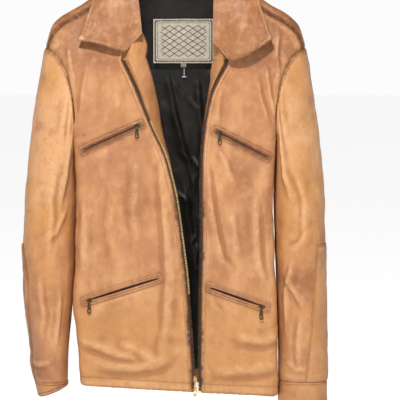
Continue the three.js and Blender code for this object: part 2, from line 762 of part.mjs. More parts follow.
// Point of the armhole seam, pushed off the body by the given gap.
function armholePoint(side, angle, inset, gap) {
  const z = mix(ARMPIT_Z, ARM_TIP_Z, (1 + Math.cos(angle)) / 2);
  const face = Math.sin(angle) >= 0 ? 'front' : 'back';
  const point = body(sideSign[side] * armholeReach(face, z), z, face);
  if (Math.abs(Math.sin(angle)) < 1e-6 && Math.cos(angle) > 0) point.y = RIDGE_Y;
  const out = sleeveOut(side, angle);
  out.z = 3 * Math.max(0, Math.cos(angle));
  out.normalize();
  point.addScaledVector(out, -inset);
  point.x += sideSign[side] * gap;
  return point;
}

// Sleeve head: from the armhole (v = 0) down to the oval tube (v = 1).
function headPlace(side, gap) {
  return (angle, v, inset) => {
    const seam = armholePoint(side, angle, inset, gap);
    const oval = sleeveOval(side, angle, SLEEVE_ROUND_Z, inset);
    const middle = seam.clone().lerp(oval, 0.5);
    const swell = 9 * (1 + Math.cos(angle)) / 2;
    middle.addScaledVector(sleeveOut(side, angle), swell);
    const a = seam.lerp(middle, v);
    const b = middle.lerp(oval, v);
    return a.lerp(b, v);
  };
}

const HEAD_ROWS = 7;
const SLEEVE_GAP = 1.3; // the sleeve stands this far off the armhole
// Upper sleeve: rows 0..1 are the head, 1..2 the tube down to the elbow.
function upperPlace(side, gap) {
  const head = headPlace(side, gap);
  return (angle, v, inset) => {
    if (v <= 1) return head(angle, v, inset);
    return sleeveOval(side, angle, mix(SLEEVE_ROUND_Z, ELBOW_Z + 0.4, v - 1), inset);
  };
}
const upperRows = [...steps(HEAD_ROWS), 1.5, 2];

// Sleeve end: the cuff on the wearer's right hangs a little askew.
function cuffEnd(side, angle) {
  const slant = side === 'right' ? 10 : 0;
  return CUFF_END[side] - slant * Math.cos(angle);
}

// The elbow patch wraps the back of the forearm, from one angle to another, in degrees.
const PATCH_TOP_Z = -470;
const PATCH = {
  right: { front: [[-740, 60], [ELBOW_Z, 12]], back: -150 },
  left: { front: [[-740, 90], [ELBOW_Z, 50]], back: -110 },
};

for (const side of ['right', 'left']) {
  add(
    `upper_sleeve_${side}`,
    layer(upperRows, ringAngles, upperPlace(side, SLEEVE_GAP), 0, LEATHER, true),
    'leather',
  );
  add(
    `upper_sleeve_lining_${side}`,
    layer(upperRows, liningAngles, upperPlace(side, SLEEVE_GAP), 5.6, LINING, true),
    'satin',
  );
  add(
    `forearm_sleeve_${side}`,
    layer(
      steps(5),
      ringAngles,
      (angle, v, inset) => sleeveOval(side, angle, mix(ELBOW_Z - 0.4, CUFF_SEAM_Z, v), inset),
      0,
      LEATHER,
      true,
    ),
    'leather',
  );
  add(
    `forearm_sleeve_lining_${side}`,
    layer(
      steps(4),
      liningAngles,
      (angle, v, inset) => sleeveOval(side, angle, mix(ELBOW_Z - 0.4, CUFF_SEAM_Z + 6, v), inset),
      5.6,
      LINING,
      true,
    ),
    'satin',
  );
  add(
    `cuff_${side}`,
    layer(
      steps(2),
      ringAngles,
      (angle, v, inset) => {
        const z = mix(CUFF_SEAM_Z - SEAM_GAP, cuffEnd(side, angle), v);
        return sleeveOval(side, angle, z, inset);
      },
      -0.6,
      2.6,
      true,
    ),
    'leather_dark',
  );
  add(
    `elbow_patch_${side}`,
    layer(
      steps(7),
      steps(12),
      (u, v, inset) => {
        const z = mix(PATCH_TOP_Z, CUFF_SEAM_Z + 2, v);
        const start = through(PATCH[side].front, z);
        return sleeveOval(side, radians(mix(start, PATCH[side].back, u)), z, inset);
      },
      -2.6,
      LEATHER,
    ),
    'leather',
  );
}

// ---------------------------------------------------------------- lining and padding

const LINING_HEM = 26;

// Lining of a front: starts behind the facing and ends short of the armhole.
function frontLiningPlace(side) {
  const sign = sideSign[side];
  return (u, v, inset) => {
    const zIn = mix(-40, hem(0) + LINING_HEM, v);
    const zOut = mix(-122, hem(0) + LINING_HEM, v);
    const z = mix(zIn, zOut, u);
    const folded = FACING_WIDTH * Math.cos(radians(through(FACING_TURN[side], z)));
    const inner = frontEdge(side, z) + sign * Math.max(14, 6 - folded);
    const outer = sign * (armholeOrSeam('front', z) - 9);
    return body(mix(inner, outer, u), z, 'front', inset);
  };
}
for (const side of ['right', 'left']) {
  add(
    `front_lining_${side}`,
    layer(PANEL_ROWS, PANEL_COLUMNS, frontLiningPlace(side), LINING_INSET, LINING),
    'satin',
  );
}

const LINING_TOP = -12;
const liningBack = (u, v, inset) => {
  const z = mix(LINING_TOP, hem(0) + LINING_HEM, v);
  const limit = z > YOKE_SEAM_Z ? turnLimit(z) : armholeOrSeam('back', z);
  return body(u * (limit - 9), z, 'back', inset);
};

// Widest the lining can be at a height above the yoke seam.
function turnLimit(z) {
  let x = ARM_SIDE_X;
  while (x > 60 && ridge(x + 6) - 14 < z) x -= 1;
  return x;
}
add('back_lining', layer(steps(14), BACK_COLUMNS, liningBack, LINING_INSET, LINING), 'satin');

for (const side of ['right', 'left']) {
  const pad = (u, v, inset) => {
    const x = mix(125, 206, u);
    const point = shoulder(x, radians(mix(52, -52, v)), mix(4.5, 4 + inset, u * 0.8 + 0.2));
    point.x *= sideSign[side];
    return point;
  };
  const outer = grid(steps(6), steps(5), (u, v) => pad(u, v, 0));
  const inner = grid(steps(6), steps(5), (u, v) => pad(u, v, 5.5));
  add(`shoulder_pad_${side}`, sheet(outer, inner), 'wadding');
}

// ---------------------------------------------------------------- labels and loop

const LABEL = { left: -42, right: 72, top: -34, bottom: -131 };
const onLining = (low, high, top, bottom) => (u, v, inset) => (
  body(mix(low, high, u), mix(top, bottom, v), 'back', LINING_INSET + inset)
);
add(
  'neck_label',
  layer(steps(5), steps(6), onLining(LABEL.left, LABEL.right, LABEL.top, LABEL.bottom), 3.4, -1),
  'label',
);
add('size_tab', layer(steps(1), steps(1), onLining(9.5, 20, -131.5, -141), 3, -0.8), 'tab');

const pinAt = body(16, -150, 'back', LINING_INSET + 4);
const pinStem = box([pinAt.x - 0.45, pinAt.y - 0.45, -160], [pinAt.x + 0.45, pinAt.y + 0.45, -144]);
const pinBar = box([pinAt.x - 4, pinAt.y - 0.6, -161], [pinAt.x + 4, pinAt.y + 0.6, -159.6]);
add('tag_pin', fromManifold(pinStem.add(pinBar)), 'nylon');

// Hanging loop: a short strap bowed up from the neck seam.
const loopShape = new THREE.Shape();
loopShape.absellipse(0, -4, 32, 16, 0, Math.PI, false);
loopShape.lineTo(-27, -4);
loopShape.absellipse(0, -4, 27, 12, Math.PI, 0, true);
loopShape.closePath();
const loop = new THREE.ExtrudeGeometry(loopShape, { depth: 2.4, bevelEnabled: false, curveSegments: 14 });
loop.rotateX(Math.PI / 2);
loop.translate(0, -7, 0);
add('hang_loop', loop, 'leather_dark');

export default group;
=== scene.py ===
"""Looks of the leather riding jacket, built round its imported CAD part.

Lengths are millimetres until a mesh is made.
"""

import functools
import itertools
import json
import math

import bpy
import numpy as np
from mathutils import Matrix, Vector
from mathutils.bvhtree import BVHTree


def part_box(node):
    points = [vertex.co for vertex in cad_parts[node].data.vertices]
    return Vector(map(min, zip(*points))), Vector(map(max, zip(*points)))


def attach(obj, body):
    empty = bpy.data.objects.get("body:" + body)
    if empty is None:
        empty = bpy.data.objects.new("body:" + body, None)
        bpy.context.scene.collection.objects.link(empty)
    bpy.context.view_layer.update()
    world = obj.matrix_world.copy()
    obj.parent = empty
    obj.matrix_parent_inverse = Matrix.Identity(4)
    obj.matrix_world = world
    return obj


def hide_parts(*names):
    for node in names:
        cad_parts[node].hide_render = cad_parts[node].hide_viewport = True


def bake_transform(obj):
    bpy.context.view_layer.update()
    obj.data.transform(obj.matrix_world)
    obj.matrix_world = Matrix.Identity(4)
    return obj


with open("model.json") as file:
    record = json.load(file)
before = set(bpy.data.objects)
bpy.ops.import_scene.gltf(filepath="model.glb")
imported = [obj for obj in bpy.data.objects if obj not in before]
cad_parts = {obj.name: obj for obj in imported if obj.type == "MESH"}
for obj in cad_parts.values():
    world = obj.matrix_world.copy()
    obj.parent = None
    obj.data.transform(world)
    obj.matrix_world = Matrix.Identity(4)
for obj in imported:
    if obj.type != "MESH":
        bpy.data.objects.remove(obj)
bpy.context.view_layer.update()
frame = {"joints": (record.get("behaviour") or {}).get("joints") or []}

MM = 0.001
SIDES = {"right": -1, "left": 1}  # the wearer's sides, and the sign of x there
SQUARE = ((-1, -1), (1, -1), (1, 1), (-1, 1))  # corners of a square, in order round it

# ------------------------------------------------------------------ shape of the body, as in the CAD part

LEATHER = 1.4
SATIN = 0.6
RIDGE_Y = -32.0
DEPTH = {"front": 70.0, "back": 60.0}
CORNER = {"front": 14.0, "back": 34.0}
FACE_SIGN = {"front": -1.0, "back": 1.0}
SHOULDER_DROP = 180.0
FORWARD_SEAM = 17.0
YOKE_SEAM_Z = -130.0
NECK_X = 100.0
ARM_TIP = (245.0, -106.0)
ARM_SIDE = (187.0, -239.0)
ARMPIT_Z = -300.0
ELBOW_Z = -455.0
SLEEVE_ROUND_Z = -386.0
CUFF_SEAM_Z = -727.0
CUFF_END = {"right": -747.0, "left": -775.0}
CUFF_SLANT = {"right": 10.0, "left": 0.0}
LINING_INSET = 12.0
HEM_Z = -743.0
HEM_SLOPE = 0.075
NECK_BASE_Z = -126.0  # the zip edge ends here and the neckline begins
EDGE_FOOT_Z = -750.0  # a height below the hem, for the lower end of a front edge
HALVINGS = 24  # steps of the search for the armhole

RIDGE = [(0, 28), (85, 26), (110, 18), (170, -20), (228, -60), (245, -108), (262, -160)]
HALF_WIDTH = [
    (-760, 172), (-738, 175), (-722, 177.5), (-711, 178), (-627, 183.5), (-590, 188.5), (-560, 189),
    (-520, 186), (-480, 184.5), (-386, 181),
    (-300, 186), (-239, 192), (-170, 214), (-106, 262),
]
# The body spreads towards the hem on the wearer's left, as far as the sleeve: height, extra half width.
LEFT_FLARE = [(-760, 19), (-738, 17), (-711, 14), (-627, 7.3), (-590, 1.5), (-560, 0), (0, 0)]
EDGE = {
    "right": [
        (-760, 35), (-534, 19), (-460, 10), (-382, -1), (-349, -8.6), (-302, -21.6),
        (-254, -44), (-182, -73.5), (-126, -99),
    ],
    "left": [
        (-760, 47), (-664, 48), (-572, 49), (-479, 51), (-321, 51), (-265, 55),
        (-219, 62), (-182, 72), (-135, 97),
    ],
}
NECKLINE = [(NECK_BASE_Z, 99), (-80, 89), (-40, 90), (5, NECK_X)]


def through(marks, key):
    """Smooth curve through landmarks (key, value), for a number or an array."""
    xs, ys = np.asarray(marks, float).T
    slopes = np.gradient(ys, xs, edge_order=1)
    slopes[1:-1] = (ys[2:] - ys[:-2]) / (xs[2:] - xs[:-2])
    key = np.clip(np.asarray(key, float), xs[0], xs[-1])
    i = np.clip(np.searchsorted(xs, key) - 1, 0, len(xs) - 2)
    span = xs[i + 1] - xs[i]
    t = (key - xs[i]) / span
    rise = ys[i + 1] - ys[i]
    bend = t * (1 - t) * ((slopes[i] * span - rise) * (1 - t) - (slopes[i + 1] * span - rise) * t)
    return ys[i] + rise * t + bend


def mix(a, b, t):
    return a + (b - a) * t


def smooth(low, high, value):
    t = np.clip((value - low) / (high - low), 0, 1)
    return t * t * (3 - 2 * t)


def ridge(x):
    return through(RIDGE, np.abs(x))


def half_width(z):
    return through(HALF_WIDTH, z)


def arc(t):
    """Quarter circle that falls from 1 at 0 to 0 at 1."""
    return np.sqrt(np.clip(1 - t * t, 0, 1))


def hem(x):
    """Height of the hem, a little lower on the wearer's left."""
    return HEM_Z - HEM_SLOPE * x


def front_edge(side, z):
    """How far across the edge of a front lies at a height."""
    z = np.asarray(z, float)
    return np.where(z <= NECK_BASE_Z, through(EDGE[side], z), SIDES[side] * through(NECKLINE, z))


def shoulder(x, turn, inset=0.0):
    """Point over the shoulder: turn is +90 degrees on the front face, 0 on the ridge, -90 on the back."""
    x, turn, inset = np.broadcast_arrays(np.asarray(x, float), turn, inset)
    depth = np.where(turn > 0, DEPTH["front"], DEPTH["back"]) - inset
    z = ridge(x) - SHOULDER_DROP + (SHOULDER_DROP - inset) * np.cos(turn)
    return np.stack([x, RIDGE_Y - depth * np.sin(turn), z], -1)


def side_seam(face, z):
    """Distance round the body from the middle of a face to the side seam."""
    corner = CORNER[face]
    return half_width(z) - corner + corner * math.pi / 2 + DEPTH[face] - corner


def body(d, z, face, inset=0.0):
    """Point of the body: d is the distance round it from the middle of the face."""
    d, z, inset = np.broadcast_arrays(np.asarray(d, float), np.asarray(z, float), inset)
    corner = CORNER[face]
    flat = half_width(z) - corner
    reach = np.abs(d) - flat
    turn = np.clip(reach / corner, 0, math.pi / 2)
    straight = np.minimum(np.abs(d), flat)
    x = straight + (corner - inset) * np.sin(turn)
    x = x + np.where(d > 0, through(LEFT_FLARE, z), 0) * smooth(90, 180, x)
    past = np.maximum(0, reach - corner * math.pi / 2)
    y = DEPTH[face] - corner + (corner - inset) * np.cos(turn) - past
    drop = np.clip((ridge(straight + corner * np.sin(turn)) - z) / SHOULDER_DROP, 0, 1)
    high = np.where(drop < 1, z - inset * (1 - drop), z)
    return np.stack([np.sign(d) * x, RIDGE_Y + FACE_SIGN[face] * y * arc(1 - drop), high], -1)


def armhole_x(z):
    """How far out the armhole lies at a height."""
    rise = np.clip((z - ARM_SIDE[1]) / (ARM_TIP[1] - ARM_SIDE[1]), 0, 1)
    return ARM_TIP[0] - (ARM_TIP[0] - ARM_SIDE[0]) * arc(rise)


def armhole_reach(face, z):
    """Armhole seam as a distance round the body. Below the armpit it is the side seam."""
    z = np.asarray(z, float)
    corner = CORNER[face]
    flat = half_width(z) - corner
    beyond = armhole_x(z) - flat
    on_face = np.where(beyond > 0, flat + corner * np.arcsin(np.clip(beyond / corner, 0, 1)), armhole_x(z))
    fall = np.clip((ARM_SIDE[1] - z) / (ARM_SIDE[1] - ARMPIT_Z), 0, 1)
    low = mix(on_face, side_seam(face, z), 1 - arc(fall))
    return np.where(z >= ARM_SIDE[1], on_face, np.where(z > ARMPIT_Z, low, side_seam(face, z)))


def armhole_at_turn(turn):
    """How far out the armhole lies at an angle over the shoulder."""
    turn = np.asarray(turn, float)
    low = np.full(turn.shape, ARM_SIDE[0])
    high = np.full(turn.shape, ARM_TIP[0])
    for _ in range(HALVINGS):
        x = (low + high) / 2
        inside = armhole_x(ridge(x) - SHOULDER_DROP * (1 - np.cos(turn))) > x
        low = np.where(inside, x, low)
        high = np.where(inside, high, x)
    return low


# ------------------------------------------------------------------ noise, folds and distances


# Large odd numbers that scramble a cell of the noise, one for each axis, and one for the result.
SCRAMBLE = np.array([374761393, 668265263, 2147483647])
SCRAMBLE_AGAIN = 1274126177


def wander(points, scale, seed):
    """Smooth noise from -1 to 1, one value for each point."""
    p = np.asarray(points, float) / scale + 31.7 * seed
    cell = np.floor(p).astype(np.int64)
    f = p - cell
    f = f * f * (3 - 2 * f)
    total = np.zeros(p.shape[:-1])
    for corner in itertools.product((0, 1), repeat=p.shape[-1]):
        code = np.sum((cell + corner) * SCRAMBLE[: p.shape[-1]], axis=-1)
        with np.errstate(over="ignore"):
            code = (code ^ (code >> 13)) * SCRAMBLE_AGAIN
        code = (code ^ (code >> 16)) & 0xFFFF
        weight = np.prod(np.where(np.array(corner) == 1, f, 1 - f), axis=-1)
        total += weight * (code / 32767.5 - 1)
    return total


def ripple(points, scale, seed):
    """Three sizes of wander added together."""
    return sum(wander(points, scale / 2**k, seed + 7 * k) / 1.8**k for k in range(3))


def fold(a, b, path, width, height, steep):
    """Height of one fold along a path in the pattern, steep and hollow on the left as one walks it."""
    path = resample(np.array(path, float), width / 2)
    path = path + 0.25 * width * wander(np.pad(path, ((0, 0), (0, 1))) / (3.5 * width), 1.0, 8)[:, None]
    distance, along = path_near(a, b, path)
    index = np.clip((along / (width / 2)).astype(int), 0, len(path) - 2)
    ahead = path[index + 1] - path[index]
    left = ahead[..., 0] * (b - path[index][..., 1]) - ahead[..., 1] * (a - path[index][..., 0]) > 0
    length = along.max()
    taper = smooth(-0.1, 0.3, along / length) * (1 - smooth(0.65, 1.05, along / length))
    ridge_shape = np.exp(-((distance * np.where(left, steep, 1.0) / width) ** 2))
    hollow = np.where(left, np.exp(-((distance / width - 0.75) ** 2) / 0.12), 0.0)
    ends = np.exp(-((np.maximum(distance - 2.2 * width, 0) / width) ** 2))
    return height * taper * ends * (ridge_shape - 0.3 * hollow)


def folded(panel, height, folds, steep=3.0):
    """A height over a panel with folds added to it, each given by its path, width and height."""
    return sum((fold(panel.a, panel.b, *one, steep) for one in folds), height)


def path_near(a, b, path):
    """Distance from each point to a path, and how far along the path that is."""
    path = np.asarray(path, float)
    best = np.full(np.shape(a), 1e9)
    where = np.zeros(np.shape(a))
    run = 0.0
    for (x0, z0), (x1, z1) in itertools.pairwise(path):
        dx, dz = x1 - x0, z1 - z0
        length = math.hypot(dx, dz)
        if length < 1e-6:
            continue
        t = np.clip(((a - x0) * dx + (b - z0) * dz) / length**2, 0, 1)
        distance = np.hypot(a - x0 - t * dx, b - z0 - t * dz)
        closer = distance < best
        best = np.where(closer, distance, best)
        where = np.where(closer, run + t * length, where)
        run += length
    return best, where


def resample(path, pitch):
    """The same path as evenly spaced points."""
    path = np.asarray(path, float)
    steps = np.hypot(*np.diff(path, axis=0).T)
    run = np.concatenate([[0], np.cumsum(steps)])
    count = max(2, int(round(run[-1] / pitch)) + 1)
    at = np.linspace(0, run[-1], count)
    return np.stack([np.interp(at, run, path[:, k]) for k in range(path.shape[1])], -1)


# ------------------------------------------------------------------ materials


def lin(red, green, blue):
    """Linear colour from 0-255 screen values."""
    values = [c / 255 for c in (red, green, blue)]
    return [*(c / 12.92 if c <= 0.04045 else ((c + 0.055) / 1.055) ** 2.4 for c in values), 1.0]


class Shader:
    """Small helper that adds nodes and links to one material."""

    def __init__(self, name):
        self.material = bpy.data.materials.new(name)
        self.material.use_nodes = True
        self.tree = self.material.node_tree
        self.surface = self.tree.nodes["Principled BSDF"]

    def node(self, kind, **settings):
        made = self.tree.nodes.new(kind)
        for key, value in settings.items():
            if key in made.inputs:
                made.inputs[key].default_value = value
            else:
                setattr(made, key, value)
        return made

    def link(self, output, target):
        self.tree.links.new(output, target)

    def attribute(self, name):
        return self.node("ShaderNodeAttribute", attribute_name=name)

    def noise(self, where, scale, detail, roughness=0.5):
        made = self.node("ShaderNodeTexNoise", Scale=scale, Detail=detail, Roughness=roughness)
        self.link(where, made.inputs["Vector"])
        return made.outputs["Fac"]

    def span(self, value, low, high, to_low=0.0, to_high=1.0):
        made = self.node("ShaderNodeMapRange", interpolation_type="SMOOTHSTEP")
        for key, number in (("From Min", low), ("From Max", high), ("To Min", to_low), ("To Max", to_high)):
            made.inputs[key].default_value = number
        self.link(value, made.inputs["Value"])
        return made.outputs["Result"]

    def math(self, operation, first, second):
        made = self.node("ShaderNodeMath", operation=operation)
        for socket, value in zip(made.inputs, (first, second)):
            if isinstance(value, (int, float)):
                socket.default_value = value
            else:
                self.link(value, socket)
        return made.outputs[0]

    def blend(self, factor, first, second):
        made = self.node("ShaderNodeMix", data_type="RGBA")
        if isinstance(factor, (int, float)):
            made.inputs["Factor"].default_value = factor
        else:
            self.link(factor, made.inputs["Factor"])
        for key, value in (("A", first), ("B", second)):
            socket = next(s for s in made.inputs if s.name == key and s.type == "RGBA")
            if isinstance(value, list):
                socket.default_value = value
            else:
                self.link(value, socket)
        return next(s for s in made.outputs if s.type == "RGBA")

    def clouds(self, where, scale, detail, roughness, low, high, first, second, most=1.0):
        """One colour with clouds of a second one, where the noise rises from low to high."""
        share = self.span(self.noise(where, scale, detail, roughness), low, high, 0.0, most)
        return self.blend(share, first, second)

    def bump(self, height, strength, distance, after=None):
        made = self.node("ShaderNodeBump", Strength=strength, Distance=distance)
        self.link(height, made.inputs["Height"])
        if after is not None:
            self.link(after, made.inputs["Normal"])
        return made.outputs["Normal"]

    def set(self, **values):
        for key, value in values.items():
            socket = self.surface.inputs[key.replace("_", " ")]
            if isinstance(value, (int, float, list)):
                socket.default_value = value
            else:
                self.link(value, socket)
        return self.material


def leather_material(name, base, deep, pale, rosy, shine):
    """Aniline hide: cloudy colour, a tone that also carries painted shade and a painted highlight, pale
    ridges (wear and painted highlight), painted shade in fold hollows, dark seams, fine grain and soft
    creases.
    """
    s = Shader(name)
    cut = s.attribute("cut").outputs["Vector"]
    hanging = s.node("ShaderNodeMapping", Scale=(1.0, 1.0, 0.45))
    s.link(cut, hanging.inputs["Vector"])
    hanging = hanging.outputs["Vector"]
    color = s.clouds(hanging, 26, 4, 0.6, 0.4, 0.62, base, pale)
    color = s.clouds(hanging, 12, 3, 0.55, 0.5, 0.66, color, deep, 0.65)
    color = s.clouds(hanging, 15, 3, 0.55, 0.5, 0.66, color, rosy, 0.65)
    # Tone is the hide's own colour drift, and also carries painted shade towards -1 (tops of the shoulders,
    # under the collar, the right elbow patch) and a painted highlight towards 2 (upper sleeves).
    tone = s.attribute("tone").outputs["Fac"]
    color = s.blend(s.span(tone, 0.0, 1.0, 0.0, 0.8), color, GOLDEN)
    color = s.blend(s.span(tone, 1.0, 2.0, 0.0, 0.8), color, HIGHLIGHT_PALE)
    color = s.blend(s.span(tone, 0.0, -1.0, 0.0, 0.85), color, BROWN)
    color = s.clouds(cut, 70, 4, 0.55, 0.44, 0.72, color, pale, 0.45)
    color = s.clouds(cut, 140, 4, 0.65, 0.52, 0.74, color, deep, 0.35)
    color = s.clouds(cut, 420, 3, 0.7, 0.5, 0.75, color, pale, 0.3)
    # Ridges of folds go pale: wear together with a painted highlight.
    relief = s.attribute("relief").outputs["Fac"]
    patches = s.span(s.noise(cut, 75, 4, 0.6), 0.35, 0.65, 0.1, 0.4)
    color = s.blend(s.math("MULTIPLY", s.span(relief, 0.1, 0.9), patches), color, SCUFF_AND_HIGHLIGHT)
    # Hollows of folds are darkened: painted shade.
    color = s.blend(s.span(relief, -0.1, -0.95, 0.0, 0.5), color, CREASE_SHADE)
    # Dark seams and edges; round the pocket mouths this darkening is painted shade.
    worn = s.attribute("seam").outputs["Fac"]
    ragged = s.math("MULTIPLY", worn, s.span(s.noise(cut, 110, 3, 0.65), 0.3, 0.62, 0.4, 1.1))
    color = s.blend(s.math("MINIMUM", ragged, 1.0), color, SEAM_DARK)
    grain = s.node("ShaderNodeTexVoronoi", Scale=900.0, feature="DISTANCE_TO_EDGE")
    s.link(cut, grain.inputs["Vector"])
    pores = s.span(grain.outputs["Distance"], 0.0, 0.25)
    creases = s.node("ShaderNodeTexVoronoi", Scale=42.0, feature="DISTANCE_TO_EDGE")
    s.link(s.blend(0.06, cut, s.noise(cut, 55, 4, 0.6)), creases.inputs["Vector"])
    normal = s.bump(s.noise(hanging, 38, 5, 0.6), 0.45, 0.006)
    normal = s.bump(s.span(creases.outputs["Distance"], 0.0, 0.12), 0.12, 0.0012, normal)
    normal = s.bump(pores, 0.14, 0.0006, normal)
    rough = s.span(s.noise(cut, 60, 5, 0.65), 0.35, 0.65, shine - 0.1, shine + 0.12)
    rough = s.math("ADD", rough, s.math("MULTIPLY", worn, 0.12))
    return s.set(Base_Color=color, Roughness=rough, Normal=normal, Specular_IOR_Level=0.38)


def satin_material():
    s = Shader("satin")
    cut = s.attribute("cut").outputs["Vector"]
    color = s.clouds(cut, 20, 3, 0.5, 0.3, 0.7, lin(11, 10, 8), lin(24, 22, 17))
    weave = s.node("ShaderNodeTexWave", Scale=700.0, Distortion=0.6, bands_direction="DIAGONAL")
    s.link(cut, weave.inputs["Vector"])
    normal = s.bump(weave.outputs["Fac"], 0.08, 0.0003)
    normal = s.bump(s.noise(cut, 45, 3), 0.25, 0.003, normal)
    return s.set(
        Base_Color=color, Roughness=0.5, Normal=normal, Sheen_Weight=0.15, Sheen_Roughness=0.4,
        Specular_IOR_Level=0.32,
    )


def metal_material(name, bright, dark, roughness):
    s = Shader(name)
    cut = s.node("ShaderNodeTexCoord").outputs["Object"]
    color = s.clouds(cut, 260, 4, 0.65, 0.35, 0.7, bright, dark)
    rough = s.span(s.noise(cut, 500, 3), 0.3, 0.7, roughness - 0.08, roughness + 0.15)
    normal = s.bump(s.noise(cut, 900, 2), 0.1, 0.0004)
    return s.set(Base_Color=color, Roughness=rough, Metallic=1.0, Normal=normal)


def cloth_material(name, base, other, weave_scale=900.0):
    s = Shader(name)
    cut = s.node("ShaderNodeTexCoord").outputs["Object"]
    color = s.clouds(cut, 200, 3, 0.5, 0.3, 0.7, base, other)
    weave = s.node("ShaderNodeTexWave", Scale=weave_scale, Distortion=1.0, bands_direction="DIAGONAL")
    s.link(cut, weave.inputs["Vector"])
    normal = s.bump(weave.outputs["Fac"], 0.3, 0.0004)
    return s.set(Base_Color=color, Roughness=0.85, Normal=normal, Sheen_Weight=0.15)


# Colours that the hide takes as its tone rises to 1 and to 2 or falls to -1, and those of its marks.
GOLDEN = lin(200, 144, 86)
# Tone 2 is a painted highlight, used on the upper sleeves.
HIGHLIGHT_PALE = lin(213, 162, 117)
# Tone -1 is the hide's darker brown, also used as painted shade over the shoulders and under the collar.
BROWN = lin(144, 92, 56)
# Pale ridges: wear together with a painted highlight.
SCUFF_AND_HIGHLIGHT = lin(228, 184, 136)
# Fold hollows: painted shade.
CREASE_SHADE = lin(140, 84, 48)
# Seams and edges, and painted shade at the pocket mouths.
SEAM_DARK = lin(92, 52, 32)
# Two colours, and the scale of the weave where it isn't the usual one.
CLOTHS = {
    "tape": (lin(52, 34, 26), lin(72, 46, 34)),
    "coil": (lin(116, 70, 48), lin(84, 48, 34), 1500.0),
    "thread_pale": (lin(206, 158, 116), lin(176, 124, 84), 2500.0),
    "thread": (lin(140, 92, 60), lin(108, 68, 44), 2500.0),
    "label": (lin(198, 190, 172), lin(178, 170, 154), 1400.0),
    "label_ink": (lin(70, 68, 64), lin(50, 48, 45), 1400.0),
    "tab": (lin(236, 226, 200), lin(222, 210, 184), 1400.0),
    "nylon": (lin(236, 236, 232), lin(220, 220, 216), 300.0),
    "cotton": (lin(84, 66, 52), lin(66, 52, 42)),
    "wadding": (lin(225, 220, 208), lin(208, 202, 190)),
}
# Bright colour, dark colour and roughness.
METALS = {
    "brass": (lin(230, 196, 130), lin(168, 132, 80), 0.3),
    # Dark brass: the antique finish of the waist pocket hardware, and painted shade on the zip teeth.
    "brass_dark": (lin(112, 86, 58), lin(52, 40, 30), 0.45),
    "gunmetal": (lin(96, 88, 78), lin(44, 40, 36), 0.33),
}
MATERIALS = {
    "leather": leather_material(
        "leather", lin(180, 124, 80), lin(150, 94, 56), lin(202, 148, 102), lin(172, 116, 84), 0.48
    ),
    "leather_dark": leather_material(
        "leather_dark", lin(150, 96, 60), lin(120, 72, 42), lin(172, 118, 78), lin(140, 88, 60), 0.5
    ),
    "satin": satin_material(),
    **{name: cloth_material(name, *look) for name, look in CLOTHS.items()},
    **{name: metal_material(name, *look) for name, look in METALS.items()},
}

# ------------------------------------------------------------------ meshes


def build(name, points, faces, material, smooth_angle=50.0, **worn):
    """Mesh object from points in millimetres."""
    points = np.asarray(points, float).reshape(-1, 3)
    mesh = bpy.data.meshes.new(name)
    faces = faces.tolist() if isinstance(faces, np.ndarray) else faces
    mesh.from_pydata((points * MM).tolist(), [], faces)
    mesh.validate()
    mesh.polygons.foreach_set("use_smooth", [True] * len(mesh.polygons))
    mesh.set_sharp_from_angle(angle=math.radians(smooth_angle))
    where = mesh.attributes.new("cut", "FLOAT_VECTOR", "POINT")
    where.data.foreach_set("vector", (points * MM).ravel())
    for key in ("seam", "relief", "tone"):
        made = mesh.attributes.new(key, "FLOAT", "POINT")
        made.data.foreach_set("value", np.ravel(worn.get(key, np.zeros(len(points)))))
    obj = bpy.data.objects.new(name, mesh)
    bpy.context.scene.collection.objects.link(obj)
    mesh.materials.append(MATERIALS[material])
    return obj


def grid_faces(rows, columns, ring=False, keep=None, offset=0):
    """Quads of a grid of points; keep drops some of them."""
    i, j = np.meshgrid(np.arange(rows - 1), np.arange(columns if ring else columns - 1), indexing="ij")
    k = (j + 1) % columns
    quads = np.stack([i * columns + j, i * columns + k, (i + 1) * columns + k, (i + 1) * columns + j], -1)
    quads = quads.reshape(-1, 4) if keep is None else quads[keep]
    return quads + offset


def normals_of(points, ring):
    """Unit normals of a grid of points."""
    down = np.gradient(points, axis=0)
    if ring:
        across = np.roll(points, -1, axis=1) - np.roll(points, 1, axis=1)
    else:
        across = np.gradient(points, axis=1)
    normal = np.cross(across, down)
    length = np.linalg.norm(normal, axis=-1, keepdims=True)
    return normal / np.maximum(length, 1e-9)


def blurred(values, reach, ring):
    """Moving average over both directions of a grid."""
    for axis in (0, 1):
        mode = "wrap" if ring and axis == 1 else "edge"
        pad = [(0, 0), (0, 0)]
        pad[axis] = (reach + 1, reach)
        run = np.cumsum(np.pad(values, pad, mode=mode), axis)
        ahead = np.take(run, range(2 * reach + 1, run.shape[axis]), axis)
        behind = np.take(run, range(run.shape[axis] - 2 * reach - 1), axis)
        values = (ahead - behind) / (2 * reach + 1)
    return values


def bilinear(corners, u, v):
    """Value inside a quad, from those at its four corners."""
    return (1 - v) * ((1 - u) * corners[0] + u * corners[1]) + v * ((1 - u) * corners[3] + u * corners[2])


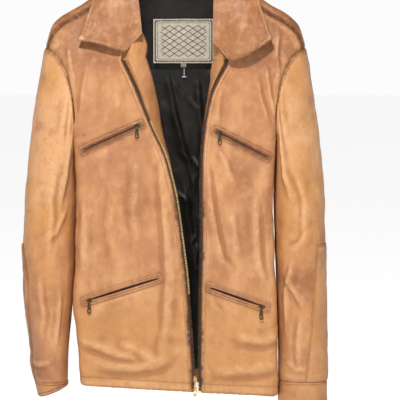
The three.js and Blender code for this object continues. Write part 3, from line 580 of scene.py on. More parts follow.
class Panel:
    """One cut piece as a grid: where each point lies in the pattern (a, b) and in space."""

    def __init__(self, name, a, b, points, outward, ring=False):
        self.name = name
        self.a, self.b = a, b
        self.points = points
        self.ring = ring
        self.seam = np.zeros(a.shape)
        self.height = np.zeros(a.shape)
        self.tone = np.zeros(a.shape)
        self.keep = None
        normal = normals_of(points, ring)
        self.flip = 1.0 if np.sum(normal * (points - np.asarray(outward))) > 0 else -1.0
        self.tree = None

    def normals(self):
        return normals_of(self.points, self.ring) * self.flip

    def push(self, height):
        self.points = self.points + self.normals() * height[..., None]
        self.height = self.height + height
        self.tree = None

    def relief(self):
        """How far each point stands above its surroundings, from -1 in a crease to 1 on a ridge."""
        near, wide = blurred(self.height, 1, self.ring), blurred(self.height, 5, self.ring)
        return np.tanh((near - wide) / 0.9)

    def cut_hole(self, inside):
        """Drops the quads whose middle lies inside a hole of the pattern."""
        a = (self.a[1:, 1:] + self.a[:-1, :-1]) / 2
        b = (self.b[1:, 1:] + self.b[:-1, :-1]) / 2
        gone = inside(a, b)
        self.keep = ~gone if self.keep is None else self.keep & ~gone

    def make(self, material, body_name, thickness=LEATHER, replaces=(), blend=None):
        rows, columns = self.a.shape
        inner = self.points - self.normals() * thickness
        count = rows * columns
        faces = [
            grid_faces(rows, columns, self.ring, self.keep),
            grid_faces(rows, columns, self.ring, self.keep, count)[:, ::-1],
        ]
        for run in self.rims(rows, columns):
            rim = np.stack([run[:-1], run[1:], run[1:] + count, run[:-1] + count], -1)
            faces.append(rim[:, ::-1])
        faces = np.concatenate(faces)
        if self.flip < 0:
            faces = faces[:, ::-1]
        points = np.concatenate([self.points.reshape(-1, 3), inner.reshape(-1, 3)])
        worn = {"seam": self.seam, "relief": self.relief(), "tone": self.tone}
        worn = {key: np.concatenate([values.ravel()] * 2) for key, values in worn.items()}
        obj = build(self.name, points, faces, material, **worn)
        return settle(obj, body_name, replaces, blend)

    def rims(self, rows, columns):
        index = np.arange(rows * columns).reshape(rows, columns)
        if self.ring:
            wrap = np.concatenate([index, index[:, :1]], axis=1)
            return [wrap[0], wrap[-1][::-1]]
        return [index[0], index[:, -1], index[-1][::-1], index[:, 0][::-1]]

    def at(self, a, b, lift=0.0):
        """Place and outward normal on the finished panel of a point of the pattern."""
        if self.tree is None:
            rows, columns = self.a.shape
            flat = np.stack([self.a, self.b, np.zeros(self.a.shape)], -1).reshape(-1, 3)
            self.quads = grid_faces(rows, columns)
            self.flat = flat
            self.tree = BVHTree.FromPolygons(flat.tolist(), self.quads.tolist())
            self.solid = self.points.reshape(-1, 3)
            self.up = self.normals().reshape(-1, 3)
        found = self.tree.find_nearest(Vector((float(a), float(b), 0.0)))
        quad = self.quads[found[2]]
        corners = self.flat[quad][:, :2]
        target = np.array([found[0].x, found[0].y])
        u = v = 0.5
        for _ in range(4):
            guess = bilinear(corners, u, v)
            du = (1 - v) * (corners[1] - corners[0]) + v * (corners[2] - corners[3])
            dv = (1 - u) * (corners[3] - corners[0]) + u * (corners[2] - corners[1])
            step = np.linalg.lstsq(np.stack([du, dv], -1), target - guess, rcond=None)[0]
            u, v = u + step[0], v + step[1]
        u, v = np.clip(u, 0, 1), np.clip(v, 0, 1)
        place = bilinear(self.solid[quad], u, v)
        normal = bilinear(self.up[quad], u, v)
        normal = normal / np.linalg.norm(normal)
        return place + lift * normal, normal


def settle(obj, body_name, replaces, blend=None):
    """Puts a finished piece on its CAD body; a piece given a blend is left unparented, with its transform
    applied.
    """
    if replaces:
        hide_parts(*replaces)
    if blend:
        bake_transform(obj)
    else:
        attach(obj, body_name)
    return obj


class Pile:
    """Many small solids gathered into one mesh."""

    def __init__(self):
        self.points, self.faces, self.count = [], [], 0

    def add(self, points, faces):
        points = np.asarray(points, float)
        self.points.append(points)
        self.faces += [[index + self.count for index in face] for face in faces]
        self.count += len(points)

    def make(self, name, material, body_name, replaces=(), smooth_angle=50.0, blend=None):
        obj = build(name, np.concatenate(self.points), self.faces, material, smooth_angle)
        return settle(obj, body_name, replaces, blend)


def frame_at(along, up):
    """Three unit vectors: along, across and up, at right angles."""
    along = along / np.linalg.norm(along)
    across = np.cross(up, along)
    across /= np.linalg.norm(across)
    return along, across, np.cross(along, across)


@functools.cache
def tube_faces(rings, sides):
    """Faces of a closed tube: quads between its rings of points, and a cap on each end."""
    last = (rings - 1) * sides
    quads = grid_faces(rings, sides, ring=True).tolist()
    return [*quads, list(range(sides))[::-1], list(range(last, last + sides))]


def lozenge(centre, along, up, length, width, height):
    """Closed stitch or tooth: a bar with pointed, rounded ends."""
    x, y, z = frame_at(along, up)
    loops = ((-0.5, 0.35), (-0.3, 1.0), (0.3, 1.0), (0.5, 0.35))
    sides = 6
    points = []
    for share, size in loops:
        for turn in range(sides):
            angle = turn * math.pi / 3
            points.append(
                centre + x * share * length
                + y * math.cos(angle) * size * width / 2
                + z * math.sin(angle) * size * height / 2
            )
    return points, tube_faces(len(loops), sides)


STITCH_PITCH = 4.4
STITCH_SIZE = (3.2, 0.8, 0.7)  # length, width and height
PUCKER_WAVE = 8.5
PUCKER_SPREAD = 9.0


def stitch(pile, panel, path, lift=0.1):
    """A row of stitches along a path of the pattern."""
    marks = resample(path, STITCH_PITCH)
    places = [panel.at(*mark, lift) for mark in marks]
    for (here, up), (ahead, _) in itertools.pairwise(places):
        if np.linalg.norm(ahead - here) > 0.2:
            pile.add(*lozenge((here + ahead) / 2, ahead - here, up, *STITCH_SIZE))


def seam_mark(panel, path, width, strength, groove, pucker=0.0):
    """Darkens a panel along a path, presses a groove there and gathers small puckers beside it."""
    distance, along = path_near(panel.a, panel.b, path)
    panel.seam = np.maximum(panel.seam, strength * (1 - smooth(width * 0.4, width, distance)))
    height = -groove * np.exp(-((distance / 1.3) ** 2))
    if pucker:
        sway = wander(np.stack([along / PUCKER_WAVE, distance / 40, along * 0], -1), 1.0, 5)
        beat = np.sin(2 * math.pi * (along / PUCKER_WAVE + 0.35 * sway))
        fade = np.exp(-((distance / PUCKER_SPREAD) ** 2)) * smooth(0.0, 2.5, distance)
        height = height + pucker * beat * fade * (0.6 + 0.4 * sway)
    return height


def sew(pile, panel, path, *mark):
    """Presses a seam along a path of a panel and stitches it; mark is as in seam_mark."""
    panel.push(seam_mark(panel, path, *mark))
    stitch(pile, panel, path)


# ------------------------------------------------------------------ rows, borders and rolled edges


def looks_along(points, faces, direction):
    """Whether most of the faces look along a direction."""
    corners = points[faces]
    normal = np.cross(corners[:, 1] - corners[:, 0], corners[:, 2] - corners[:, 0])
    return np.sum(normal @ np.array(direction)) > 0


def facing(points, faces, direction):
    """The same faces, turned over if most of them look away from a direction."""
    return faces if looks_along(points, faces, direction) else faces[:, ::-1]


def grid_of(columns, rows, power=1.0):
    """Two arrays of shares from 0 to 1: across the columns and down the rows."""
    return np.meshgrid(np.linspace(0, 1, columns), np.linspace(0, 1, rows) ** power)


def flat_noise(panel, scale, seed):
    """Noise over the pattern of a panel."""
    return ripple(np.stack([panel.a, panel.b], -1), scale, seed)


def border(panel, edge):
    """Distance of every point of a panel from one of its borders."""
    axis = 0 if edge in ("top", "bottom") else 1
    steps = np.linalg.norm(np.diff(panel.points, axis=axis), axis=-1)
    shape = list(panel.a.shape)
    shape[axis] = 1
    run = np.concatenate([np.zeros(shape), np.cumsum(steps, axis)], axis)
    if edge in ("bottom", "last"):
        run = np.take(run, [-1], axis) - run
    return run


def line_beside(panel, edge, distance):
    """Path of the pattern that runs at one distance beside a border."""
    run = border(panel, edge)
    a, b = panel.a, panel.b
    if edge in ("top", "bottom"):
        run, a, b = run.T, a.T, b.T
    if edge in ("bottom", "last"):
        run, a, b = run[:, ::-1], a[:, ::-1], b[:, ::-1]
    return [(np.interp(distance, r, x), np.interp(distance, r, y)) for r, x, y in zip(run, a, b)]


def tuck(panel, edge, depth, reach, dark, dark_width):
    """Rolls a border inwards, as where the hide turns under at a seam, and darkens it."""
    away = border(panel, edge)
    panel.seam = np.maximum(panel.seam, dark * (1 - smooth(dark_width * 0.4, dark_width, away)))
    return -depth * (1 - arc(1 - np.clip(away / reach, 0, 1)))


SEWN = (1.8, 5.0, 0.85, 6.0)  # roll of a border that is sewn to its neighbour, as in tuck


def tucks(panel, **rolls):
    """Several borders rolled inwards; each is given as in tuck."""
    return sum(tuck(panel, edge, *roll) for edge, roll in rolls.items())


def calm(panel, **reaches):
    """0 on the given borders of a panel and 1 beyond the given distances from them."""
    return math.prod(smooth(0, reach, border(panel, edge)) for edge, reach in reaches.items())


def gather(panel, edge, height, wave, spread, seed):
    """Small puckers that run across a sewn border."""
    away = border(panel, edge)
    along = border(panel, "first" if edge in ("top", "bottom") else "top")
    sway = wander(np.stack([along / 31, away / 60], -1), 1.0, seed)
    beat = np.sin(2 * math.pi * (along / wave + 0.6 * sway))
    fade = np.exp(-((away / spread) ** 2)) * smooth(1.0, 4.0, away)
    uneven = 0.55 + 0.45 * wander(np.stack([along / 17, away / 90], -1), 1.0, seed + 3)
    return height * beat * fade * uneven


# ------------------------------------------------------------------ fronts

FORWARD_TURN = math.acos(1 - FORWARD_SEAM / SHOULDER_DROP)
INSIDE = np.array([0.0, -20.0, -400.0])  # a point inside the jacket, for the outward side of the panels
POCKET_NAMES = [f"{height}_pocket_{side}" for height in ("chest", "waist") for side in SIDES]
JOINTS = {joint["name"]: joint for joint in frame["joints"]}
threads = {}


def thread_pile(body_name):
    return threads.setdefault(body_name, Pile())


def box_mm(node):
    low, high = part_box(node)
    return np.array(low) / MM, np.array(high) / MM


SLOT_SHORTER = 8  # a slot ends this far from the end of its frame
WIDEST_AT = 8  # an open mouth is widest this far along the zip from its middle


class Pocket:
    """Place of one zip pocket: centre, direction towards its inner end, half length and half height."""

    def __init__(self, name):
        height, _, side = name.split("_")
        self.name, self.height, self.side = name, height, side
        low, high = box_mm(f"{name}_welt")
        wide, _, tall = high - low
        self.centre = ((low + high) / 2)[[0, 2]]
        slant = np.array(JOINTS[f"{height}_zip_{side}"]["axis"])[[0, 2]]
        self.along = slant * -np.sign(slant[0]) * SIDES[side]
        self.up = np.array([-self.along[1], self.along[0]])
        self.up *= np.sign(self.up[1])
        c, s = np.abs(self.along)
        self.reach = (wide * c - tall * s) / (c * c - s * s) / 2
        self.window = (tall * c - wide * s) / (c * c - s * s) / 2
        self.slot = self.reach - SLOT_SHORTER
        self.open = height == "waist"
        self.widest = 0.9 if self.open else 0.0

    def pattern(self, s, t):
        """Pattern point at s along the zip and t above it."""
        return self.centre + s * self.along + t * self.up

    def local(self, a, b):
        """Where a pattern point lies: along the zip and above it."""
        da, db = a - self.centre[0], b - self.centre[1]
        return da * self.along[0] + db * self.along[1], da * self.up[0] + db * self.up[1]

    def gape(self, s):
        """Half the gap between the two rows of coil."""
        return self.widest * np.clip(1 - ((s - WIDEST_AT) / (self.slot - WIDEST_AT)) ** 2, 0, 1) ** 0.6

    def mouth(self, s):
        """Half height of the slot in the leather."""
        return 1.5 + self.gape(s)

    def hole(self, a, b):
        """Whether points of the pattern lie in the slot."""
        s, t = self.local(a, b)
        return (np.abs(s) < self.slot - 1) & (np.abs(t) < self.mouth(s) + 1.5)


POCKETS = [Pocket(name) for name in POCKET_NAMES]


def forward_seam(x):
    """Height of the forward shoulder seam."""
    return ridge(x) - FORWARD_SEAM


def front_panel(side):
    sign = SIDES[side]
    u, v = grid_of(92, 262, 1.12)
    tip_x = armhole_at_turn(np.array(FORWARD_TURN))
    top_in, top_out = forward_seam(NECK_X), forward_seam(tip_x)
    z_in = mix(top_in, hem(front_edge(side, EDGE_FOOT_Z)), v)
    z_out = mix(top_out, hem(sign * 180), v)
    x = mix(NECK_X, tip_x, u)
    z = mix(z_in, z_out, u) + (forward_seam(x) - mix(top_in, top_out, u)) * (1 - v) ** 3
    d = mix(front_edge(side, z_in), sign * armhole_reach("front", z_out), u)
    return Panel(f"front_panel_{side}_leather", d, z, body(d, z, "front"), INSIDE)


# Each fold: its path seen from the front, with the hollow side on the left as one walks it; width; height.
FRONT_FOLDS = {
    "right": [
        ([(-29, -671), (-19, -608), (-13, -548), (-20, -420), (-33, -288)], 10, 4.6),
        ([(-66, -682), (-110, -676), (-146, -664), (-182, -646)], 15, 5.0),
        ([(-8, -680), (-36, -694), (-72, -700), (-110, -698), (-150, -688)], 20, 5.0),
        ([(-40, -684), (-70, -668), (-110, -652)], 15, 3.0),
        ([(-30, -546), (-95, -566), (-164, -588)], 9, 2.4),
        ([(-172, -505), (-173, -433), (-169, -380)], 9, 3.0),
        ([(-70, -485), (-80, -400), (-74, -300)], 14, 1.8),
        ([(-110, -520), (-124, -430), (-112, -330)], 16, 1.6),
        ([(-178, -237), (-171, -185), (-163, -130)], 9, 2.6),
        ([(-192, -180), (-196, -140), (-200, -100)], 7, 2.8),
        ([(-100, -150), (-108, -190), (-102, -235)], 14, 1.4),
    ],
    "left": [
        ([(56, -300), (68, -394), (88, -496), (112, -530)], 10, 5.6),
        ([(150, -380), (152, -450), (158, -510), (168, -548)], 12, 4.6),
        ([(104, -390), (112, -450), (120, -510)], 12, 1.8),
        ([(78, -284), (98, -322), (114, -362)], 7, 2.0),
        ([(190, -640), (158, -650), (130, -646), (104, -630)], 18, 3.4),
        ([(188, -690), (140, -704), (96, -706), (60, -700)], 20, 3.4),
        ([(44, -650), (54, -690), (70, -722)], 7, 3.2),
        ([(64, -550), (74, -580), (92, -604)], 8, 2.4),
        ([(152, -150), (160, -200), (176, -256)], 8, 2.8),
        ([(168, -135), (178, -190), (188, -240)], 7, 3.0),
        ([(192, -74), (190, -130), (192, -181)], 7, 2.6),
        ([(84, -170), (80, -215), (76, -268)], 8, 2.2),
    ],
}


def make_front(side):
    panel = front_panel(side)
    a, b = panel.a, panel.b
    height = 2.0 * flat_noise(panel, 120, 3 + SIDES[side]) + 0.9 * flat_noise(panel, 34, 9)
    height = folded(panel, height, FRONT_FOLDS[side])
    # Golden towards the hem and darker upwards; the dark band at the top is painted shade under the collar
    # and over the shoulders.
    panel.tone = 0.7 * smooth(-480, -640, b) - 0.3 * smooth(-420, -200, b) - 0.95 * smooth(-175, -95, b)
    lilac = np.exp(-(((a - 128) / 20) ** 2)) * smooth(-560, -450, b) * smooth(-290, -350, b)
    panel.tone = panel.tone - (0.55 * lilac if side == "left" else 0)
    quiet = 1.0
    pockets = [pocket for pocket in POCKETS if pocket.side == side]
    for pocket in pockets:
        s, t = pocket.local(a, b)
        outside = np.hypot(np.maximum(np.abs(s) - pocket.reach, 0), np.maximum(np.abs(t) - 4, 0))
        quiet = quiet * smooth(0, 26, outside)
        bulge = np.exp(-((t + 12) / 20) ** 2) * smooth(-0.2, 0.5, 1 - np.abs(s) / pocket.reach)
        height = height + (3.4 if pocket.open else 1.6) * bulge * (1 - 0.5 * quiet)
    height = height * mix(0.25, 1, quiet)
    height = height * calm(panel, first=22) + 0.6
    panel.push(height * calm(panel, last=14, top=14))
    for pocket in pockets:
        s, t = pocket.local(a, b)
        ring = np.hypot(np.maximum(np.abs(s) - pocket.reach + 5, 0), np.maximum(np.abs(t) - 5, 0))
        panel.seam = np.maximum(panel.seam, 0.6 * np.exp(-((ring - 4.5) / 1.8) ** 2))
        panel.push(-0.7 * np.exp(-((ring - 5) / 2.6) ** 2))
        panel.cut_hole(pocket.hole)
    panel.push(gather(panel, "first", 0.75, 9.0, 8.0, 4) + gather(panel, "bottom", 0.9, 13.0, 12.0, 6))
    rolls = {
        "first": (2.6, 5.0, 0.8, 3.0), "top": (1.8, 5.0, 0.95, 7.0),
        "last": (1.0, 4.0, 0.75, 4.0), "bottom": (2.4, 5.0, 0.2, 3.0),
    }
    panel.push(tucks(panel, **rolls))
    low = smooth(-330, -420, b)
    patchy = 0.35 + 0.65 * smooth(0.0, 0.4, flat_noise(panel, 26, 14))
    panel.seam = np.maximum(panel.seam, 0.95 * low * patchy * (1 - smooth(3, 9, border(panel, "first"))))
    pile = thread_pile("jacket_body")
    for edge, distance in (("first", 8.0), ("bottom", 18.0), ("top", 6.0)):
        path = line_beside(panel, edge, distance)
        if edge == "first":
            path = [mark for mark in path if mark[1] < -146]
        sew(pile, panel, path, 2.2, 0.7 if edge == "top" else 0.12, 0.6, 0.25)
    panel.make("leather", "jacket_body", replaces=[f"front_panel_{side}"])
    return panel


fronts = {side: make_front(side) for side in SIDES}

# ------------------------------------------------------------------ zip pockets


def racetrack(length, height, corner, angle):
    """Rounded rectangle of those half sizes, as a function of the angle round it."""
    power = 2 + 4 * (1 - corner)
    c, s = np.cos(angle), np.sin(angle)
    return (
        length * np.sign(c) * np.abs(c) ** (2 / power),
        height * np.sign(s) * np.abs(s) ** (2 / power),
    )


# Darkening and tone across the frame of a pocket, from the mouth to the outer edge. The darkening is
# strongest at the mouth, painted shade where the lip turns into the slot; further out it marks the seam and
# the edge.
WELT_DARKENING = {
    "chest": [0.95, 0.9, 0.55, 0.35, 1.0, 0.35, 0.2, 0.75],
    "waist": [0.95, 0.85, 0.35, 0.05, 0.85, 0.15, 0.05, 0.65],
}
WELT_TONE = {
    "chest": [-1.0, -1.0, -1.0, -0.9, -0.9, -0.5, -0.2, 0.0],
    "waist": [-1.0, -0.8, -0.4, -0.1, -0.4, 0.0, 0.2, 0.2],
}
LOWER_LIP = 0.3  # the lower lip of an open pocket stands over the lower row of its zip
# Section of a pocket's frame: share of the way from the mouth to the outer edge, and height.
WELT_PROFILE = [
    (0.0, -3.0), (0.02, -0.4), (0.10, 1.4), (0.26, 1.9), (0.4, 0.3), (0.58, 1.3), (0.86, 0.5), (1.0, -0.5),
]


def welt(pocket, panel):
    """Raised leather frame with a rolled lip round the zip."""
    turns = np.linspace(0, 2 * math.pi, 220, endpoint=False)
    points = []
    for turn in turns:
        s_in, _ = racetrack(pocket.slot, 1, 0.2, turn)
        t_in = pocket.mouth(s_in) * np.sign(math.sin(turn)) * abs(math.sin(turn)) ** 0.35
        if pocket.open and t_in < 0:
            t_in *= LOWER_LIP
        s_out, t_out = racetrack(pocket.reach, pocket.window, 0.1, turn)
        column = []
        for share, rise in WELT_PROFILE:
            place, normal = panel.at(*pocket.pattern(mix(s_in, s_out, share), mix(t_in, t_out, share)))
            sway = 0.35 * wander(np.array([turn * 14, share * 2.0]), 1.0, 12)
            column.append(place + normal * (rise + (sway if 0 < share < 1 else 0)))
        points.append(column)
    points = np.array(points)
    count, wide = points.shape[:2]
    index = np.arange(count * wide).reshape(count, wide)
    ahead = np.roll(index, -1, axis=0)
    faces = np.stack([index[:, :-1], index[:, 1:], ahead[:, 1:], ahead[:, :-1]], -1).reshape(-1, 4)
    faces = facing(points.reshape(-1, 3), faces, [0.0, -1.0, 0.0])
    # Darkening over the frame: painted shade at the mouth, seams further out.
    worn = np.tile(WELT_DARKENING[pocket.height], (count, 1))
    worn = worn * (0.75 + 0.35 * wander(np.repeat(turns[:, None, None] * [9, 4, 0], wide, 1), 1.0, 15))
    tone = np.tile(WELT_TONE[pocket.height], (count, 1))
    obj = build(
        f"{pocket.name}_welt_leather", points, faces, "leather", smooth_angle=80, seam=worn, tone=tone
    )
    settle(obj, "jacket_body", [f"{pocket.name}_welt"])
    path = [
        pocket.pattern(*racetrack(pocket.reach - 2.6, pocket.window - 2.2, 0.1, turn))
        for turn in np.linspace(0, 2 * math.pi, 120)
    ]
    stitch(thread_pile("jacket_body"), panel, path, lift=1.4)


PULL_DROP = 3.0  # from the hinge line down to the top of a pull
PULL_CORNERS = 40  # points of a pull's outline


def plate(outer, inner, thickness, normal):
    """Closed ring of metal between two loops, with rounded edges."""
    outer, inner, normal = np.asarray(outer), np.asarray(inner), np.asarray(normal, float)
    section = [(0, 0), (0.12, 0.42), (0.35, 0.5), (0.65, 0.5), (0.88, 0.42), (1, 0)]
    section += [(share, -lift) for share, lift in section[-2:0:-1]]
    points = np.array([mix(inner, outer, share) + normal * lift * thickness for share, lift in section])
    rows, count = points.shape[:2]
    index = np.arange(rows * count).reshape(rows, count)
    ahead, beside = np.roll(index, -1, axis=0), np.roll(index, -1, axis=1)
    faces = np.stack([index, beside, np.roll(ahead, -1, axis=1), ahead], -1).reshape(-1, 4)
    points = points.reshape(-1, 3)
    front = faces[: 2 * count]
    return points, faces if looks_along(points, front, normal) else faces[:, ::-1]


def teardrop(length, width):
    """Outline of a pull that hangs from the origin, and its hole, as (x, z)."""
    turns = np.linspace(0, 2 * math.pi, PULL_CORNERS, endpoint=False)
    down = (1 - np.cos(turns)) / 2
    half = width / 2 * (0.42 + 0.58 * down**1.2) * np.abs(np.sin(turns)) ** 0.6 * np.sign(np.sin(turns))
    outer = np.stack([half, -length * down], -1)
    radius = width * 0.25
    hole = np.stack([radius * np.sin(turns), -length * 0.74 + radius * 1.2 * np.cos(turns)], -1)
    return outer, hole


def hang_pull(name, node, body_name, material, forward=0.0):
    """Teardrop pull in the place of a CAD pull."""
    low, high = box_mm(node)
    centre = (low + high) / 2
    loops = []
    for loop in teardrop((high[2] - low[2]) * 1.12, (high[0] - low[0]) * 1.25):
        y = np.full(len(loop), centre[1] - forward)
        loops.append(np.stack([centre[0] + loop[:, 0], y, high[2] - PULL_DROP + loop[:, 1]], -1))
    pile = Pile()
    pile.add(*plate(*loops, high[1] - low[1], [0, -1, 0]))
    pile.make(name, material, body_name, [node])


def rounded_box(pile, centre, axes, half, round_by):
    """Box with rounded edges; axes are three unit vectors."""
    points = []
    loops = [(-1, 0.72), (-0.8, 1), (0.8, 1), (1, 0.72)]
    sides = 20
    for level, size in loops:
        for turn in np.linspace(0, 2 * math.pi, sides, endpoint=False) + math.pi / sides:
            x, y = racetrack(half[0], half[1], round_by, turn)
            shrink = 1 - (1 - size) * min(1, 3 * half[2] / max(half[0], half[1]))
            points.append(centre + axes[0] * x * shrink + axes[1] * y * shrink + axes[2] * level * half[2])
    faces = tube_faces(len(loops), sides)
    if np.dot(np.cross(axes[0], axes[1]), axes[2]) < 0:
        faces = [face[::-1] for face in faces]
    pile.add(points, faces)


def pocket_metal(pocket, panel):
    """Slider shell and its bridge, and the pull."""
    metal = "brass_dark" if pocket.open else "gunmetal"
    low, high = box_mm(f"{pocket.name}_slider")
    s, t = pocket.local(*((low + high) / 2)[[0, 2]])
    place, up = panel.at(*pocket.pattern(s, t))
    along = np.array([pocket.along[0], 0.0, pocket.along[1]])
    along, across, up = frame_at(along, up)
    half_wide = 3.6 + pocket.gape(s) * 0.4
    pile = Pile()
    rounded_box(pile, place + up * 1.6, (along, across, up), (5.6, half_wide, 0.9), 0.55)
    rounded_box(pile, place + up * 3.2, (along, across, up), (3.4, 0.9, 0.7), 0.6)
    pile.make(f"{pocket.name}_slider_metal", metal, f"{pocket.height}_slider_{pocket.side}",
              [f"{pocket.name}_slider"])
    hang_pull(
        f"{pocket.name}_pull_metal", f"{pocket.name}_pull", f"{pocket.height}_pull_{pocket.side}", metal,
        forward=3.6 if pocket.open else 2.0,
    )


def pocket_zip(pocket, panel):
    """Tape and the two rows of coil; an open pocket's rows part round its mouth."""
    slot = pocket.slot
    tape = Pile()
    s = np.linspace(-slot - 3, slot + 3, 70)
    for sign in (-1, 1):
        inner = sign * (pocket.gape(s) + 0.25)
        outer = sign * (pocket.window - 1)
        rows = []
        for share in (0.0, 0.35, 1.0):
            marks = [pocket.pattern(x, mix(y, outer, share)) for x, y in zip(s, inner)]
            rows.append([panel.at(*mark, -2.4 - 0.8 * share)[0] for mark in marks])
        rows = np.array(rows)
        faces = grid_faces(3, len(s))
        faces = facing(rows.reshape(-1, 3), faces, [0, -1, 0])
        tape.add(rows.reshape(-1, 3), faces.tolist())
        under = rows + [0, 0.5, 0]
        tape.add(under.reshape(-1, 3), faces[:, ::-1].tolist())
    tape.make(f"{pocket.name}_zip_tape", "tape", "jacket_body", [f"{pocket.name}_zip"])
    coil = Pile()
    for x in np.arange(-slot + 1, slot - 1, 1.15):
        for sign in (-1, 1):
            middle = sign * (pocket.gape(x) + 1.0) + (0.2 if sign > 0 else 0)
            place, up = panel.at(*pocket.pattern(x + 0.28 * sign, middle), -0.5)
            side_way = np.array([pocket.up[0], 0.0, pocket.up[1]])
            coil.add(*lozenge(place, side_way, up, 2.3, 0.95, 1.5))
    coil.make(f"{pocket.name}_zip_coil", "coil", "jacket_body")


def pocket_bag(pocket):
    """Cotton bag that hangs behind the front, flat and a little wrinkled."""
    low, high = box_mm(f"{pocket.name}_bag")
    turns, down = np.meshgrid(np.linspace(-math.pi, math.pi, 61)[:-1], np.linspace(0, 1, 50))
    half = (high - low) / 2
    centre = (high + low) / 2
    slope = pocket.along[1] / pocket.along[0]
    x = centre[0] + half[0] * np.sign(np.sin(turns)) * np.abs(np.sin(turns)) ** 0.25
    top = high[2] - np.abs(slope) * half[0] + slope * (x - centre[0])
    bottom = low[2] + np.abs(slope) * half[0] + slope * (x - centre[0])
    swell = np.sin(np.pi * np.clip(down, 0.02, 0.98)) ** 0.4
    y = centre[1] + 2.3 * np.cos(turns) * swell
    points = np.stack([x, y, mix(top, bottom, down)], -1)
    bag = Panel(f"{pocket.name}_bag_cloth", turns * 50, points[..., 2], points, centre, ring=True)
    bag.push(0.3 * ripple(points, 18, 3))
    bag.make("cotton", "jacket_body", 0.5, [f"{pocket.name}_bag"])


for pocket in POCKETS:
    panel = fronts[pocket.side]
    welt(pocket, panel)
    pocket_zip(pocket, panel)
    pocket_metal(pocket, panel)
    pocket_bag(pocket)

# ------------------------------------------------------------------ yoke, back and hem

NECK_TURN = [(0, -32.4), (40, -30), (75, -18), (90, 0), (NECK_X, 24)]


def neck_turn(x):
    """Angle over the shoulder at which the neckline lies."""
    return np.radians(through(NECK_TURN, np.abs(x)))


def turn_at_height(x, z):
    """Angle over the shoulder, on the back, at which the hide comes down to a height."""
    return -np.arccos(np.clip(1 - (ridge(x) - z) / SHOULDER_DROP, 0, 1))


def make_yoke():
    share, v = grid_of(190, 74)
    column = np.abs(2 * share - 1)
    side_sign = np.sign(2 * share - 1)
    size = np.minimum(column / 0.42, 1) * NECK_X
    beyond = np.maximum(0, (column - 0.42) / 0.58)
    start = np.where(beyond > 0, FORWARD_TURN, np.minimum(neck_turn(size), FORWARD_TURN))
    x = size
    for _ in range(6):
        turn = mix(start, turn_at_height(x, YOKE_SEAM_Z), v)
        x = np.where(beyond > 0, mix(NECK_X, armhole_at_turn(turn), beyond), size)
    points = shoulder(x, turn)
    points[..., 0] *= side_sign
    panel = Panel("back_yoke_leather", x * side_sign, turn * 90, points, [0, RIDGE_Y, -160])
    inside = calm(panel, first=16, last=16, top=16, bottom=16)
    panel.push(inside * (1.6 * flat_noise(panel, 70, 5) + 0.4 * flat_noise(panel, 20, 8)))
    panel.push(tucks(panel, top=(1.8, 5.0, 0.95, 6.0), first=SEWN, last=SEWN, bottom=(1.6, 4.0, 0.85, 5.0)))
    # Painted shade: the yoke over the tops of the shoulders is darkened towards tone -1, with some drift.
    panel.tone = -0.9 + 0.4 * flat_noise(panel, 60, 6)
    pile = thread_pile("jacket_body")
    for edge in ("top", "bottom"):
        path = line_beside(panel, edge, 5.5)
        if edge == "top":
            path = [mark for mark in path if abs(mark[0]) > NECK_X + 4]
            for part in ([m for m in path if m[0] < 0], [m for m in path if m[0] > 0]):
                sew(pile, panel, part, 3.0, 0.5, 0.6, 0.2)
        else:
            sew(pile, panel, path, 3.0, 0.5, 0.6, 0.3)
    panel.make("leather", "jacket_body", replaces=["back_yoke"])


BACK_FOLDS = [
    ([(-160, -150), (-130, -280), (-100, -420)], 24, 3.0),
    ([(160, -150), (136, -280), (110, -400)], 24, 3.0),
    ([(-60, -300), (-40, -700)], 30, 2.4),
    ([(70, -360), (50, -720)], 28, 2.4),
    ([(-150, -560), (-50, -596), (60, -590)], 26, 1.8),
    ([(-40, -650), (60, -660), (150, -620)], 26, 2.0),
]


def make_back():
    u, v = grid_of(170, 240, 1.06)
    z = mix(YOKE_SEAM_Z, hem(0), v)
    d = (2 * u - 1) * armhole_reach("back", z)
    panel = Panel("back_panel_leather", d, z, body(d, z, "back"), INSIDE)
    inside = calm(panel, first=16, last=16, top=14)
    height = 3.4 * flat_noise(panel, 130, 11) + 0.6 * flat_noise(panel, 30, 12)
    height = folded(panel, height, BACK_FOLDS, 1.8)
    panel.tone = 0.3 * flat_noise(panel, 70, 18)
    panel.push(height * inside)
    rolled = tucks(panel, top=(1.6, 4.0, 0.85, 5.0), first=SEWN, last=SEWN, bottom=(2.4, 5.0, 0.55, 4.0))
    panel.push(gather(panel, "bottom", 0.8, 14.0, 12.0, 16) + rolled)
    sew(thread_pile("jacket_body"), panel, line_beside(panel, "bottom", 18), 3.2, 0.5, 0.7, 0.25)
    panel.make("leather", "jacket_body", replaces=["back_panel"])


def around(t, z, inset):
    """Point of the whole body outline, measured from the middle of the back."""
    back = side_seam("back", z)
    far = np.abs(t) > back
    rear = body(t, z, "back", inset)
    fore = body(np.sign(t) * (side_seam("front", z) - np.abs(t) + back), z, "front", inset)
    return np.where(far[..., None], fore, rear)


HEM_BAND_Z = -720.0
HEM_BAND_HEIGHT = 32
HEM_BAND_SHORTER = 62  # the band ends this far from the front edges, at the facings


def make_hem_band():
    """Strip of hide behind the hem, from one facing round the back to the other."""
    reach = [
        side_seam("back", HEM_BAND_Z) + side_seam("front", HEM_BAND_Z)
        - SIDES[side] * front_edge(side, HEM_BAND_Z) - HEM_BAND_SHORTER
        for side in SIDES
    ]
    u, v = grid_of(320, 16)
    t = mix(-reach[0], reach[1], u)
    z = hem(around(t, HEM_BAND_Z, 0.0)[..., 0]) + 3 + HEM_BAND_HEIGHT * v
    panel = Panel("hem_band_leather", t, z, around(t, z, 4.6), INSIDE)
    panel.push(0.3 * flat_noise(panel, 24, 3) - 0.3)
    panel.make("leather_dark", "jacket_body", replaces=["hem_band"])


make_yoke()
make_back()
make_hem_band()

# ------------------------------------------------------------------ facings and lining

